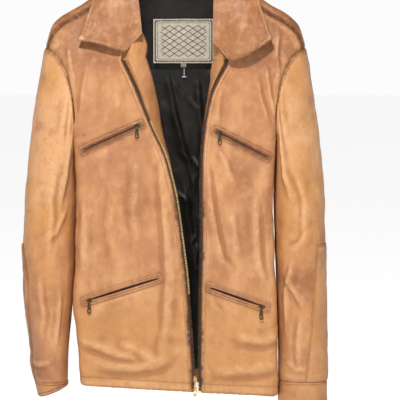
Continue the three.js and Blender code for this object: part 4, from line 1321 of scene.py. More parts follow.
FACING_WIDTH = 54.0
FACING_TURN = {
    "right": [
        (-745, 160), (-560, 128), (-369, 81), (-302, 72), (-254, 57), (-200, 38), (-141, 20), (-112, 19),
        (-84, 42), (-64, 60),
    ],
    "left": [
        (-745, 160), (-560, 128), (-300, 92), (-219, 78), (-182, 70), (-135, 46), (-84, 58), (-64, 74),
    ],
}
LAPEL_RISE = 18.0  # the top of each facing stands this far forward, level with the collar
FACING_RISE = 10.0  # the inner edge of a facing rises this far at its top
FACING_TOP = {"right": -116.0, "left": -130.0}  # where the collar hides a facing
TUCKED_UNDER = {"right": 52.0, "left": 66.0}  # and how far it runs on above that


def make_facing(side):
    """Leather strip behind a front edge, curling back into the jacket."""
    sign = SIDES[side]
    u, v = grid_of(26, 260)
    z = mix(FACING_TOP[side] + TUCKED_UNDER[side], hem(front_edge(side, EDGE_FOOT_Z)) + 8, v)
    start = body(front_edge(side, z), z, "front", 5.2)
    turn = np.radians(through(FACING_TURN[side], z))
    curl = np.radians(26) * (u - 0.5)
    along = u * FACING_WIDTH - 1
    x = start[..., 0] - sign * along * np.cos(turn + curl)
    y = start[..., 1] + along * np.sin(turn + curl)
    y = y - LAPEL_RISE * smooth(-250, -130, z) * smooth(0.04, 0.3, u)
    rise = FACING_RISE * u * np.clip(1 - v, 0, 1) ** 8
    points = np.stack([x, y, z + rise], -1)
    behind = points.mean((0, 1)) + [sign * 40, 30, 0]
    panel = Panel(f"front_facing_{side}_leather", u * FACING_WIDTH, z, points, behind)
    panel.push(0.7 * flat_noise(panel, 45, 20) * smooth(0, 10, border(panel, "first")))
    panel.push(gather(panel, "last", 0.6, 11.0, 9.0, 21) + tuck(panel, "last", 1.2, 3.0, 0.6, 3.0))
    panel.tone = 0.2 + 0.6 * flat_noise(panel, 40, 22)
    sew(thread_pile("jacket_body"), panel, line_beside(panel, "last", 4.0), 2.4, 0.5, 0.4)
    panel.make("leather", "jacket_body", 1.2, [f"front_facing_{side}"])


SATIN_FOLDS = [
    ([(-20, -140), (20, -330)], 9, 4.0),
    ([(40, -150), (60, -360)], 8, 4.0),
    ([(0, -230), (50, -420)], 8, 4.5),
    ([(80, -180), (20, -430)], 7, 4.0),
    ([(10, -330), (45, -560)], 9, 4.5),
    ([(60, -400), (20, -620)], 8, 4.5),
    ([(-40, -180), (-10, -400)], 10, 4.0),
    ([(30, -480), (70, -700)], 9, 4.0),
    ([(90, -260), (50, -520)], 9, 4.0),
    ([(0, -300), (34, -318), (60, -350)], 7, 3.6),
    ([(-6, -170), (50, -230)], 6, 3.0),
    ([(2, -380), (40, -410)], 7, 3.4),
    ([(60, -440), (10, -500)], 6, 3.0),
]


def back_lining():
    """Wrinkled satin over the inside of the back, seen through the neck opening."""
    u, v = grid_of(130, 230)
    z = mix(2, hem(0) + 26, v)
    under_shoulder = np.interp(z, *zip(*[(float(ridge(x)) - 14, x) for x in range(206, 59, -2)]))
    limit = np.where(z > YOKE_SEAM_Z, np.minimum(under_shoulder, 187), armhole_reach("back", z))
    d = (2 * u - 1) * (limit - 9)
    panel = Panel("back_lining_satin", d, z, body(d, z, "back", LINING_INSET), INSIDE)
    panel.flip *= -1
    height = 1.8 * flat_noise(panel, 60, 31) + 0.9 * np.abs(flat_noise(panel, 22, 33))
    height = folded(panel, height, SATIN_FOLDS, 1.6)
    panel.push(height * calm(panel, first=14, last=14))
    panel.make("satin", "jacket_body", SATIN, ["back_lining"])
    return panel


def front_lining(side):
    """Satin behind a front, from the facing to the armhole."""
    sign = SIDES[side]
    u, v = grid_of(60, 200)
    z_in = mix(-40, hem(0) + 26, v)
    z_out = mix(-122, hem(0) + 26, v)
    z = mix(z_in, z_out, u)
    folded = FACING_WIDTH * np.cos(np.radians(through(FACING_TURN[side], z)))
    inner = front_edge(side, z) + sign * np.maximum(14, 6 - folded)
    outer = sign * (armhole_reach("front", z) - 9)
    d = mix(inner, outer, u)
    panel = Panel(f"front_lining_{side}_satin", d, z, body(d, z, "front", LINING_INSET), INSIDE)
    panel.flip *= -1
    panel.push(1.2 * np.abs(flat_noise(panel, 40, 41)))
    panel.make("satin", "jacket_body", SATIN, [f"front_lining_{side}"])


for side in SIDES:
    make_facing(side)
    front_lining(side)
lining = back_lining()

# ------------------------------------------------------------------ labels, pin and loop


def on_lining(low, high, top, bottom, rows, columns):
    """Grid of points that lies on the back lining, over a rectangle seen from the front."""
    u, v = grid_of(columns, rows)
    a, b = mix(low, high, u), mix(top, bottom, v)
    points = [lining.at(x, z)[0] for x, z in zip(a.ravel(), b.ravel())]
    return a, b, np.array(points).reshape(rows, columns, 3)


def weave_line(ink, panel, path, pitch, length, width):
    """Row of woven dashes along a path on the label."""
    marks = resample(path, pitch)
    for (x0, z0), (x1, z1) in itertools.pairwise(marks):
        place, up = panel.at((x0 + x1) / 2, (z0 + z1) / 2, 0.3)
        ink.add(*lozenge(place, np.array([x1 - x0, 0, z1 - z0]), up, length, width, 0.7))


def make_labels():
    low, high = box_mm("neck_label")
    a, b, points = on_lining(low[0], high[0], high[2], low[2], 42, 60)
    front = points[..., 1].min()
    points[..., 1] = mix(points[..., 1], front, 0.75) - 2.6
    points[..., 1] -= 0.8 * wander(np.stack([a, b], -1), 34, 5)
    panel = Panel("neck_label_cloth", a, b, points, [0, 100, -90])
    panel.make("label", "jacket_body", 0.6, ["neck_label"])
    ink = Pile()
    middle = (low + high) / 2
    half = (high - low) / 2
    for inset, pitch, length, width in ((3.6, 4.2, 3.2, 3.2), (8.0, 2.4, 1.8, 1.0)):
        reach, rise = half[0] - inset, half[2] - inset
        border_line = [middle[[0, 2]] + (x * reach, z * rise) for x, z in (*SQUARE, SQUARE[0])]
        weave_line(ink, panel, border_line, pitch, length, width)
    reach, rise = half[0] - 13, half[2] - 13
    count = 5
    for step in range(-count, count + 1):
        shift = step * 2 * reach / count
        for lean in (-1, 1):
            rows = np.linspace(-rise, rise, 30)
            across = shift + lean * rows * reach / rise
            rows = rows[np.abs(across) < reach]
            across = across[np.abs(across) < reach]
            if len(rows) > 1:
                line = middle[[0, 2]] + np.stack([across, rows], -1)
                weave_line(ink, panel, line, 2.6, 2.3, 1.5)
    ink.make("neck_label_weave", "label_ink", "jacket_body")

    low, high = box_mm("size_tab")
    u, v = grid_of(8, 10)
    a, b = mix(low[0], high[0], u), mix(high[2], low[2], v)
    y = np.full(a.shape, (low[1] + high[1]) / 2) - 0.6 * v
    tab = Panel("size_tab_cloth", a, b, np.stack([a, y, b], -1), [0, 100, -90])
    tab.make("tab", "jacket_body", 0.5, ["size_tab"])

    low, high = box_mm("tag_pin")
    middle = (low + high) / 2
    pin = Pile()
    upright, ahead, sideways = np.array([0, 0, 1.0]), np.array([0, -1.0, 0]), np.array([1.0, 0, 0])
    height = high[2] - low[2]
    rounded_box(pin, middle, (sideways, ahead, upright), (0.45, 0.45, height / 2), 0.9)
    rounded_box(pin, np.array([middle[0], middle[1], low[2] + 0.7]), (upright, ahead, sideways),
                (0.7, 0.6, (high[0] - low[0]) / 2), 0.9)
    pin.make("tag_pin_nylon", "nylon", "jacket_body", ["tag_pin"])

    low, high = box_mm("hang_loop")
    turn, around_strap = grid_of(40, 8)
    angle = math.pi * turn
    round_angle = 2 * math.pi * around_strap
    half = (high[0] - low[0]) / 2
    rise = high[2] - low[2]
    out = 2.0 * np.cos(round_angle)
    x = (low[0] + high[0]) / 2 - (half - 2 + out) * np.cos(angle)
    z = low[2] + (rise - 2 + out) * np.sin(angle)
    y = (low[1] + high[1]) / 2 + 1.3 * np.sin(round_angle)
    points = np.stack([x, y, z], -1)[:-1].transpose(1, 0, 2)
    rows, columns = points.shape[:2]
    faces = grid_faces(rows, columns, ring=True)
    strap = build("hang_loop_leather", points, faces, "leather_dark")
    settle(strap, "jacket_body", ["hang_loop"])


make_labels()

# ------------------------------------------------------------------ front zip

STRIP_TOP = NECK_BASE_Z
TOOTH_PITCH = 2.9
HIGHLIGHT_FROM, HIGHLIGHT_TO = -560.0, -240.0  # stretch of teeth given bright brass as a painted highlight


def strip_bottom(side):
    """Height of the lower end of a zip tape."""
    return hem(front_edge(side, EDGE_FOOT_Z)) + 3


def edge_point(side, past, z, inset):
    """Point a distance past a front edge, towards the opening."""
    return body(front_edge(side, z) - SIDES[side] * past, z, "front", inset)


def make_zip_half(side):
    """Tape along a front edge with its row of teeth."""
    u, v = grid_of(6, 200)
    z = mix(STRIP_TOP, strip_bottom(side), v)
    past = mix(-7, 3.2, u)
    points = edge_point(side, past, z, 1.9)
    tape = Panel(f"zip_tape_{side}_cloth", past, z, points, INSIDE)
    tape.push(0.25 * wander(np.stack([past, z], -1), 16, 5))
    tape.make("tape", "jacket_body", 0.6, [f"zip_tape_{side}"])
    teeth = {"bright": Pile(), "dull": Pile()}
    levels = np.arange(strip_bottom(side) + 9, STRIP_TOP, TOOTH_PITCH)
    if side == "left":
        levels = levels + TOOTH_PITCH / 2
    for level in levels:
        root = edge_point(side, 3.0, level, 2.2)
        tip = edge_point(side, 6.2, level, 2.2)
        # Teeth in this stretch take bright brass as a painted highlight; the others take dark brass as
        # painted shade.
        highlit = side == "right" and HIGHLIGHT_FROM < level < HIGHLIGHT_TO
        teeth["bright" if highlit else "dull"].add(*tooth(root, tip, np.array([0.0, 0.0, 1.0])))
    teeth["dull"].make(f"zip_teeth_{side}_metal", "brass_dark", "jacket_body", [f"zip_teeth_{side}"])
    if side == "right":
        teeth["bright"].make("zip_teeth_rubbed_metal", "brass", "jacket_body")


def tooth(root, tip, upright):
    """One cast zip tooth: a foot on the tape and a rounded head."""
    along, across, up = frame_at(tip - root, upright)
    length = np.linalg.norm(tip - root)
    points = []
    loops = ((0, 0.9, 1.7), (0.45, 0.75, 1.5), (0.75, 1.0, 1.5), (1.0, 0.5, 0.8))
    for share, tall, deep in loops:
        for y, z in SQUARE:
            points.append(root + along * share * length + across * y * deep * 0.75 + up * z * tall * 0.9)
    return points, tube_faces(len(loops), len(SQUARE))


def make_zip_metal():
    for node, body_name, half_depth in (("zip_box", "jacket_body", 2.0), ("zip_pin", "jacket_body", 1.1),
                                        ("zip_slider", "front_slider", 2.9)):
        low, high = box_mm(node)
        middle, half = (low + high) / 2, (high - low) / 2
        side = "left" if node == "zip_pin" else "right"
        top = edge_point(side, 0, middle[2] + half[2], 0)
        foot = edge_point(side, 0, middle[2] - half[2], 0)
        along, across, up = frame_at(top - foot, np.array([0.0, -1.0, 0.0]))
        pile = Pile()
        rounded_box(pile, middle, (across, along, up), (half[0] * 0.95, half[2] * 0.97, half_depth), 0.55)
        if node == "zip_slider":
            rounded_box(pile, middle + up * 3.4, (across, along, up), (1.2, half[2] * 0.55, 0.8), 0.6)
        pile.make(f"{node}_metal", "brass", body_name, [node])
    hang_pull("zip_pull_metal", "zip_pull", "front_pull", "brass")


for side in SIDES:
    make_zip_half(side)
make_zip_metal()

# ------------------------------------------------------------------ collar

# Knots of the collar's fold line: (x, y, z), round the back of the neck and down each side.
ROLL_BACK = [(-77, -46, 30), (-60, -20, 46), (-30, -3, 53)]
ROLL = {
    "right": [(-61, -100, -78), (-64, -93, -45), (-69, -78, -12)],
    "left": [(71, -100, -74), (71, -93, -45), (72, -78, -12)],
}
# Knots of its free edge, the same on each wing: x, and the angle over the shoulder in degrees.
FREE_EDGE = [(180, 53), (161, 37), (148, 18), (136, 0), (115, -20), (75, -37), (35, -42)]
# How far the ends of the wings hang down, from the fold line (0) to the free edge (1).
END_DROP = {
    "right": [(0, 0), (0.2, 24.5), (0.25, 31), (0.3, 31), (0.64, 15.5), (1, 0)],
    "left": [(0, 24), (0.25, 50), (0.3, 51), (0.537, 41), (0.83, 20), (1, 0)],
}
COLLAR_FLOAT = 6.5  # the collar lies this far off the shoulders
COLLAR_LIFT = {"right": 13.0, "left": 20.0}  # extra height of the wings at their free edge


def mirrored(points):
    """The same points on the other side, in the opposite order."""
    return [(-x, *rest) for x, *rest in points][::-1]


def spline(knots, t):
    """Smooth curve through evenly numbered knots, t from 0 to 1."""
    knots = np.asarray(knots, float)
    marks = np.linspace(0, 1, len(knots))
    return np.stack([through(np.stack([marks, knots[:, k]], -1), t) for k in range(3)], -1)


def free_edge_knots():
    """The collar's free edge, from the wearer's right round the back to the left."""
    half = [shoulder(float(x), math.radians(turn), -COLLAR_FLOAT) for x, turn in FREE_EDGE]
    middle = shoulder(0.0, math.radians(-43), -COLLAR_FLOAT)
    return [*[(-x, y, z) for x, y, z in half], middle, *half[::-1]]


ROLL_LINE = [*ROLL["right"], *ROLL_BACK, (0, 1, 55), *mirrored(ROLL_BACK), *ROLL["left"][::-1]]
FREE_LINE = free_edge_knots()


def clear_of_shoulder(points, distance):
    """Lifts points off the shoulder where they lie closer than a distance."""
    distance = np.broadcast_to(distance, points.shape[:-1])
    depth = np.where(points[..., 1] < RIDGE_Y, DEPTH["front"], DEPTH["back"])
    top = ridge(points[..., 0])
    across = (RIDGE_Y - points[..., 1]) / depth
    up = (points[..., 2] - top) / SHOULDER_DROP + 1
    surface = shoulder(points[..., 0], np.arctan2(across, up), -distance)
    needed = np.hypot((RIDGE_Y - surface[..., 1]) / depth, (surface[..., 2] - top) / SHOULDER_DROP + 1)
    near = np.hypot(across, up) < needed
    return np.where(near[..., None], surface, points)


def make_collar():
    """Fall of the collar: rolled over at the neck and laid flat as two wings."""
    u, v = grid_of(330, 44)
    top, bottom = spline(ROLL_LINE, u), spline(FREE_LINE, u)
    points = mix(top, bottom, v[..., None])
    outward = bottom - top
    outward[..., 2] = 0
    outward /= np.linalg.norm(outward, axis=-1, keepdims=True)
    near = 2 * np.abs(u - 0.5)
    front = np.clip((near - 0.72) / 0.2, 0, 1)[..., None]
    lean = outward * (1 - front) + np.concatenate([0 * front, -front, 0.6 - 0.6 * front], -1)
    lean /= np.linalg.norm(lean, axis=-1, keepdims=True)
    points = points + lean * (28 * v * (1 - v))[..., None] * (1 - 0.6 * front)
    share = np.clip((near - 0.86) / 0.14, 0, 1)
    drop = np.where(u < 0.5, through(END_DROP["right"], v), through(END_DROP["left"], v))
    points[..., 2] -= drop * share
    lift = np.where(u < 0.5, COLLAR_LIFT["right"], COLLAR_LIFT["left"])
    points = clear_of_shoulder(points, COLLAR_FLOAT + lift * smooth(0.05, 0.7, v) * smooth(0.5, 0.8, near))
    a = (u - 0.5) * 900
    panel = Panel("collar_fall_leather", a, v * 90, points, [0, RIDGE_Y, -30])
    inside = calm(panel, bottom=14, top=10)
    panel.push(inside * (1.3 * flat_noise(panel, 60, 51) + 0.4 * flat_noise(panel, 18, 52)))
    panel.tone = mix(-0.85, -1.2, smooth(0.4, 0.6, u)) + 0.4 * flat_noise(panel, 50, 55)
    edges = ("bottom", "first", "last")
    panel.push(gather(panel, "bottom", 0.9, 9.0, 8.0, 53))
    panel.push(sum(tuck(panel, edge, 1.5, 3.5, 0.5, 2.6) for edge in edges))
    panel.push(sum(0.8 * np.exp(-(((border(panel, edge) - 3.4) / 3.0) ** 2)) for edge in edges))
    pile = Pile()
    for edge in edges:
        sew(pile, panel, line_beside(panel, edge, 6.5)[4:-4], 2.4, 0.4, 1.0, 0.25)
    pile.make("collar_stitches", "thread_pale", "jacket_body")
    panel.make("leather", "jacket_body", 2.4, ["collar_fall"])


def neck_seam(lift):
    """Knots of the seam between the body and the collar."""
    half = [body(x, z, "front", -lift) for x, z in ((-90.0, -96.0), (-88.0, -60.0), (-90.0, -28.0))]
    for x in (96.0, 88.0, 75.0, 52.0, 28.0):
        place = shoulder(x, neck_turn(x), -lift)
        half.append(place * [-1, 1, 1])
    return [*half, shoulder(0.0, neck_turn(0.0), -lift), *[p * [-1, 1, 1] for p in half[::-1]]]


def make_stand():
    """Strip that stands inside the collar, from the neck seam up to the fold."""
    u, v = grid_of(220, 24)
    along = mix(0.06, 0.94, u)
    top, foot = spline(ROLL_LINE, along), spline(neck_seam(1.2), along)
    inward = np.stack([-foot[..., 0], RIDGE_Y - foot[..., 1], np.zeros(u.shape)], -1)
    inward /= np.linalg.norm(inward, axis=-1, keepdims=True)
    points = mix(foot, top, v[..., None] * 0.86) + inward * 4
    panel = Panel("collar_stand_leather", (u - 0.5) * 400, v * 40, points, [0, RIDGE_Y, 0])
    panel.flip *= -1
    panel.push(0.5 * flat_noise(panel, 30, 61))
    panel.make("leather_dark", "jacket_body", replaces=["collar_stand"])


make_collar()
make_stand()

# ------------------------------------------------------------------ sleeves

SLEEVE_CENTRE = {
    "right": [
        (-760, 229), (-729, 233), (-700, 236), (-664, 236.5), (-572, 237.5), (-520, 237), (-480, 237),
        (-386, 233),
    ],
    "left": [(-780, 239), (-664, 238.5), (-572, 237), (-480, 233.5), (-386, 231.5)],
}
SLEEVE_HALF = {
    "right": [
        (-760, 27), (-729, 31), (-700, 34.5), (-664, 36), (-572, 45.6), (-520, 49), (-480, 49), (-386, 49),
    ],
    "left": [(-780, 46), (-664, 46), (-572, 47), (-480, 47), (-386, 48)],
}
SLEEVE_TONE = {"right": 0.1, "left": -0.1}
SLEEVE_FORWARD = [(-780, -34), (-600, -22), (ELBOW_Z, -10), (SLEEVE_ROUND_Z, -6)]
SLEEVE_DEPTH = {
    "right": [(-760, 50), (-600, 55), (ELBOW_Z, 59), (SLEEVE_ROUND_Z, 61)],
    "left": [(-780, 40), (-600, 50), (ELBOW_Z, 58), (SLEEVE_ROUND_Z, 61)],
}
PATCH_FRONT = {
    "right": [(-740, 30), (-646, 30), (-530, 40), (-470, 14)],
    "left": [(-740, 90), (ELBOW_Z, 50)],
}
SLEEVE_COLUMNS = 132
SLEEVE_RADIUS = 54.0  # turns an angle round the arm into a pattern distance
ARM_X = 234.0
# A lifted sleeve begins to bend here (x, z), bends along this direction and over this length, in metres.
SHOULDER_TIP = (0.248, -0.106)
SHOULDER_WAY = (0.957, -0.291)
SHOULDER_BEND = 0.026
PATCH_TOP_Z = -470.0
PATCH_BACK = {"right": -150.0, "left": -110.0}
SPLIT_Z = -425.0  # the drawn sleeve is in two pieces, which meet here
BEND = (-432.0, -488.0)  # the elbow bends between these heights


def sleeve_out(side, angle):
    """Level direction away from the middle of a sleeve."""
    return np.stack([SIDES[side] * np.cos(angle), -np.sin(angle), np.zeros(np.shape(angle))], -1)


def sleeve_oval(side, angle, z, inset):
    """Point round a sleeve: angle 0 is its outer edge and 90 degrees its front."""
    width = through(SLEEVE_HALF[side], z) - inset
    depth = through(SLEEVE_DEPTH[side], z) - inset
    x = SIDES[side] * (through(SLEEVE_CENTRE[side], z) + width * np.cos(angle))
    return np.stack([x, RIDGE_Y + through(SLEEVE_FORWARD, z) - depth * np.sin(angle), z], -1)


def armhole_point(side, angle, inset, gap):
    """Point round the armhole, at the angle of the sleeve that is sewn to it."""
    z = mix(ARMPIT_Z, ARM_TIP[1], (1 + np.cos(angle)) / 2)
    fore = body(SIDES[side] * armhole_reach("front", z), z, "front")
    rear = body(SIDES[side] * armhole_reach("back", z), z, "back")
    point = np.where((np.sin(angle) >= 0)[..., None], fore, rear)
    out = sleeve_out(side, angle)
    out[..., 2] = 3 * np.maximum(0, np.cos(angle))
    out /= np.linalg.norm(out, axis=-1, keepdims=True)
    point = point - out * inset
    point[..., 0] += SIDES[side] * gap
    return point


def head_point(side, angle, v, inset, gap):
    """Point of the sleeve head, which swells from the armhole (v = 0) to the round sleeve (v = 1)."""
    seam = armhole_point(side, angle, inset, gap)
    oval = sleeve_oval(side, angle, np.full(np.shape(angle), SLEEVE_ROUND_Z), inset)
    swell = 9 * (1 + np.cos(angle)) / 2
    middle = mix(seam, oval, 0.5) + sleeve_out(side, angle) * swell[..., None]
    v = v[..., None]
    return mix(mix(seam, middle, v), mix(middle, oval, v), v)


def sleeve_grid(side, inset, bottom, columns, pitch):
    """Whole sleeve from armhole to cuff: pattern a round the arm, pattern b down it, and the points."""
    angles = np.linspace(-math.pi, math.pi, columns, endpoint=False)
    head_rows = int(180 / pitch)
    tube_rows = int((SLEEVE_ROUND_Z - bottom) / pitch)
    v = np.linspace(0, 1, head_rows)
    angle, share = np.meshgrid(angles, v)
    head = head_point(side, angle, share, inset, 0.2)
    levels = np.linspace(SLEEVE_ROUND_Z, bottom, tube_rows + 1)[1:]
    turn, level = np.meshgrid(angles, levels)
    tube = sleeve_oval(side, turn, level, inset)
    b_head = mix(np.full(angle.shape, -215.0), SLEEVE_ROUND_Z, share)
    return (
        np.concatenate([angle, turn]) * SLEEVE_RADIUS,
        np.concatenate([b_head, level]),
        np.concatenate([head, tube]),
    )


def slice_panel(panel, rows, name):
    """Some rows of a ring-shaped panel as a panel of their own."""
    piece = Panel(name, panel.a[rows], panel.b[rows], panel.points[rows], [0, 0, 0], ring=True)
    piece.flip = panel.flip
    piece.seam = panel.seam[rows]
    piece.height = panel.height[rows]
    piece.tone = panel.tone[rows]
    return piece


def split_sleeve(panel, ending):
    """The upper and the lower piece of a whole sleeve."""
    split = int(np.argmin(np.abs(panel.b[:, 0] - SPLIT_Z)))
    upper = slice_panel(panel, slice(0, split + 1), f"upper_{ending}")
    return upper, slice_panel(panel, slice(split, None), f"forearm_{ending}")


def shoulder_blend(side):
    sign = SIDES[side]
    tip = np.array([sign * SHOULDER_TIP[0], RIDGE_Y * MM, SHOULDER_TIP[1]])
    way = np.array([sign * SHOULDER_WAY[0], 0.0, SHOULDER_WAY[1]])
    return ("jacket_body", f"upper_arm_{side}", tip.tolist(), (tip + way * SHOULDER_BEND).tolist())


def elbow_blend(side):
    x, y = SIDES[side] * ARM_X * MM, RIDGE_Y * MM
    start, end = ((x, y, level * MM) for level in BEND)
    return (f"upper_arm_{side}", f"forearm_{side}", start, end)


SLEEVE_FOLDS = {
    "right": [
        ([(-247, -229), (-242, -256), (-236, -290)], 8, 2.6),
        ([(-214, -250), (-208, -330), (-214, -420)], 10, 2.6),
        ([(-236, -330), (-228, -420), (-236, -500)], 13, 2.4),
        ([(-200, -400), (-222, -450), (-250, -470)], 9, 2.6),
        ([(-212, -560), (-216, -610), (-221, -664)], 8, 3.0),
        ([(-254, -520), (-244, -600), (-250, -660)], 10, 2.2),
        ([(-230, -690), (-248, -696), (-268, -692)], 7, 2.6),
        ([(-236, -180), (-230, -230), (-222, -270)], 9, 2.0),
    ],
    "left": [
        ([(222, -230), (212, -270), (208, -330), (214, -400)], 9, 3.2),
        ([(250, -205), (232, -244), (228, -290)], 8, 2.8),
        ([(232, -330), (240, -400), (236, -470)], 11, 2.2),
        ([(202, -528), (222, -562), (244, -594)], 10, 3.6),
        ([(216, -500), (204, -560), (206, -640)], 9, 3.0),
        ([(236, -600), (226, -650), (232, -710)], 10, 2.6),
        ([(250, -440), (230, -470), (206, -480)], 9, 2.4),
        ([(208, -690), (226, -706), (246, -704)], 8, 2.0),
    ],
}


def seen_at(side, x, z):
    """Pattern point of the sleeve that is seen at x, z from the front."""
    lean = (SIDES[side] * x - through(SLEEVE_CENTRE[side], z)) / through(SLEEVE_HALF[side], z)
    return math.acos(min(max(lean, -0.98), 0.98)) * SLEEVE_RADIUS, z


def ring_noise(panel, scale, seed):
    """Noise in space, so that it meets itself round a sleeve."""
    return ripple(panel.points, scale, seed)


def make_sleeve(side):
    """Sleeve of hide from the armhole to the cuff, in two pieces; returns the lower one."""
    a, b, points = sleeve_grid(side, 0.0, CUFF_SEAM_Z, SLEEVE_COLUMNS, 2.6)
    centre = points.mean((0, 1))
    panel = Panel(f"sleeve_{side}", a, b, points, centre, ring=True)
    height = 1.8 * ring_noise(panel, 95, 70) + 0.9 * ring_noise(panel, 30, 72)
    height = height * (1 - 0.8 * np.clip(-np.cos(a / SLEEVE_RADIUS), 0, 1) ** 2)
    folds = [([seen_at(side, *mark) for mark in path], *size) for path, *size in SLEEVE_FOLDS[side]]
    height = folded(panel, height, folds)
    # Painted highlight: the upper sleeves are lightened towards tone 2.
    upper_arm = smooth(-540, -330, b) * smooth(-150, -230, b)
    panel.tone = SLEEVE_TONE[side] + 1.7 * upper_arm + 0.8 * ring_noise(panel, 60, 77)
    panel.push(height * calm(panel, top=16, bottom=12))
    rolled = tucks(panel, top=(1.0, 4.0, 0.85, 6.0), bottom=(1.0, 3.0, 0.15, 2.0))
    panel.push(gather(panel, "top", 0.5, 10.0, 9.0, 73) + rolled)
    upper, lower = split_sleeve(panel, f"sleeve_{side}_leather")
    pile = Pile()
    sew(pile, upper, line_beside(upper, "top", 6.0), 2.2, 0.3, 0.6, 0.2)
    pile.make(f"armhole_stitches_{side}", "thread", "", blend=shoulder_blend(side))
    upper.make("leather", "", LEATHER, [f"upper_sleeve_{side}"], shoulder_blend(side))
    lower.make("leather", "", LEATHER, [f"forearm_sleeve_{side}"], elbow_blend(side))
    return lower


def make_sleeve_lining(side):
    """Satin tube inside a sleeve, in two pieces."""
    a, b, points = sleeve_grid(side, 5.6, CUFF_SEAM_Z + 6, 72, 5.0)
    panel = Panel(f"sleeve_lining_{side}", a, b, points, points.mean((0, 1)), ring=True)
    panel.push(-0.9 * np.abs(ring_noise(panel, 30, 75)))
    upper, lower = split_sleeve(panel, f"sleeve_lining_{side}_satin")
    upper.make("satin", "", SATIN, [f"upper_sleeve_lining_{side}"], shoulder_blend(side))
    lower.make("satin", "", SATIN, [f"forearm_sleeve_lining_{side}"], elbow_blend(side))


def make_cuff(side):
    """Turned sleeve end; on the wearer's right it hangs a little askew."""
    angles = np.linspace(-math.pi, math.pi, SLEEVE_COLUMNS, endpoint=False)
    angle, v = np.meshgrid(angles, np.linspace(0, 1, 22))
    end = CUFF_END[side] - CUFF_SLANT[side] * np.cos(angle)
    z = mix(CUFF_SEAM_Z - 0.3, end, v)
    points = sleeve_oval(side, angle, z, -0.5)
    panel = Panel(f"cuff_{side}_leather", angle * SLEEVE_RADIUS, z, points, points.mean((0, 1)), ring=True)
    panel.push(0.8 * ring_noise(panel, 24, 81))
    panel.tone = 0.3 + 0.6 * ring_noise(panel, 40, 82)
    rolled = tucks(panel, top=(0.8, 2.4, 0.15, 2.0), bottom=(1.8, 4.0, 0.25, 3.0))
    panel.push(rolled + gather(panel, "bottom", 0.5, 11.0, 7.0, 83))
    pile = Pile()
    for edge, distance in (("top", 4.0), ("bottom", 7.0)):
        sew(pile, panel, line_beside(panel, edge, distance), 1.8, 0.15, 0.5)
    pile.make(f"cuff_stitches_{side}", "thread", f"forearm_{side}")
    panel.make("leather", f"forearm_{side}", 2.2, [f"cuff_{side}"])


def make_patch(side, sleeve):
    """Second layer of hide over the back of the forearm, laid on the finished sleeve."""
    u, v = grid_of(96, 104)
    z = mix(PATCH_TOP_Z, CUFF_SEAM_Z + 2, v)
    angle = np.radians(mix(through(PATCH_FRONT[side], z), PATCH_BACK[side], u))
    a = angle * SLEEVE_RADIUS
    points = [sleeve.at(x, y, 1.5)[0] for x, y in zip(a.ravel(), z.ravel())]
    points = np.array(points).reshape(*u.shape, 3)
    middle = points.mean((0, 1)) * [0, 0, 1] + [SIDES[side] * ARM_X, RIDGE_Y - 12, 0]
    panel = Panel(f"elbow_patch_{side}_leather", a, z, points, middle)
    inside = calm(panel, first=12, last=12, top=12, bottom=12)
    panel.push(0.8 * inside * (1 + flat_noise(panel, 40, 91)))
    # The right patch is darkened as painted shade; the left one is made paler.
    panel.tone = 0.5 * flat_noise(panel, 60, 92) + {"right": -0.3, "left": 0.4}[side]
    for edge in ("first", "last", "top"):
        panel.push(tuck(panel, edge, 1.2, 2.4, 0.6, 2.4) + gather(panel, edge, 0.35, 8.0, 7.0, 93))
    pile = Pile()
    for edge in ("first", "last", "top"):
        sew(pile, panel, line_beside(panel, edge, 4.6), 1.8, 0.2, 0.6, 0.15)
    pile.make(f"patch_stitches_{side}", "thread", "", blend=elbow_blend(side))
    panel.make("leather", "", 1.2, [f"elbow_patch_{side}"], elbow_blend(side))


for side in SIDES:
    forearm = make_sleeve(side)
    make_sleeve_lining(side)
    make_cuff(side)
    make_patch(side, forearm)

# ------------------------------------------------------------------ shoulder pads


PAD_X = 166
PAD_REACH = 40
PAD_TURN = 51  # degrees over the shoulder, to the front and to the back
PAD_DEPTH = 7.0  # of the middle of a pad below the hide


def make_pad(side):
    """Wadding pad inside a shoulder, thick at the armhole and thin towards the neck."""
    angles = np.linspace(0, 2 * math.pi, 48, endpoint=False)
    turn, share = np.meshgrid(angles, np.linspace(0.02, 1, 16))
    x = PAD_X + PAD_REACH * share * np.cos(turn)
    over = np.radians(PAD_TURN) * share * np.sin(turn)
    rim = np.sqrt(np.clip(1 - share**2, 0, 1))
    plump = 0.3 + 2.3 * rim * np.clip((x - 118) / 90, 0.3, 1)
    skins = []
    for sign in (1, -1):
        points = shoulder(x, over, PAD_DEPTH - sign * plump)
        points[..., 0] *= SIDES[side]
        skins.append(points)
    points = np.concatenate([skins[0], skins[1][::-1]])
    rows, columns = points.shape[:2]
    faces = grid_faces(rows, columns, ring=True).tolist()
    faces += [list(range(columns)), list(range((rows - 1) * columns, rows * columns))[::-1]]
    pile = Pile()
    pile.add(points.reshape(-1, 3), faces)
    obj = pile.make(f"shoulder_pad_{side}_wadding", "wadding", "jacket_body", [f"shoulder_pad_{side}"])


for side in SIDES:
    make_pad(side)

for body_name, pile in threads.items():
    pile.make(f"{body_name}_stitches", "thread", body_name)

# ------------------------------------------------------------------ stage, light and camera


FLOOR_Z = -1.1
FLOOR_REACH = 30
AMBIENT = 0.06  # brightness of the room
HORIZON = 0.85  # brightness of the band along its horizon


def floor_material():
    """Pale floor that glows away from the jacket, so that it meets the white wall without a line."""
    s = Shader("floor")
    place = s.node("ShaderNodeTexCoord").outputs["Object"]
    away = s.node("ShaderNodeVectorMath", operation="LENGTH")
    s.link(place, away.inputs["Vector"])
    color = lin(250, 249, 247)
    shade = s.clouds(place, 3, 4, 0.5, 0.3, 0.7, color, [c * 0.97 for c in color[:3]] + [1.0])
    glow = s.span(away.outputs["Value"], 1.2, 2.4, 0.12, 0.85)
    return s.set(
        Base_Color=shade, Roughness=0.95, Emission_Color=lin(255, 255, 255), Emission_Strength=glow
    )


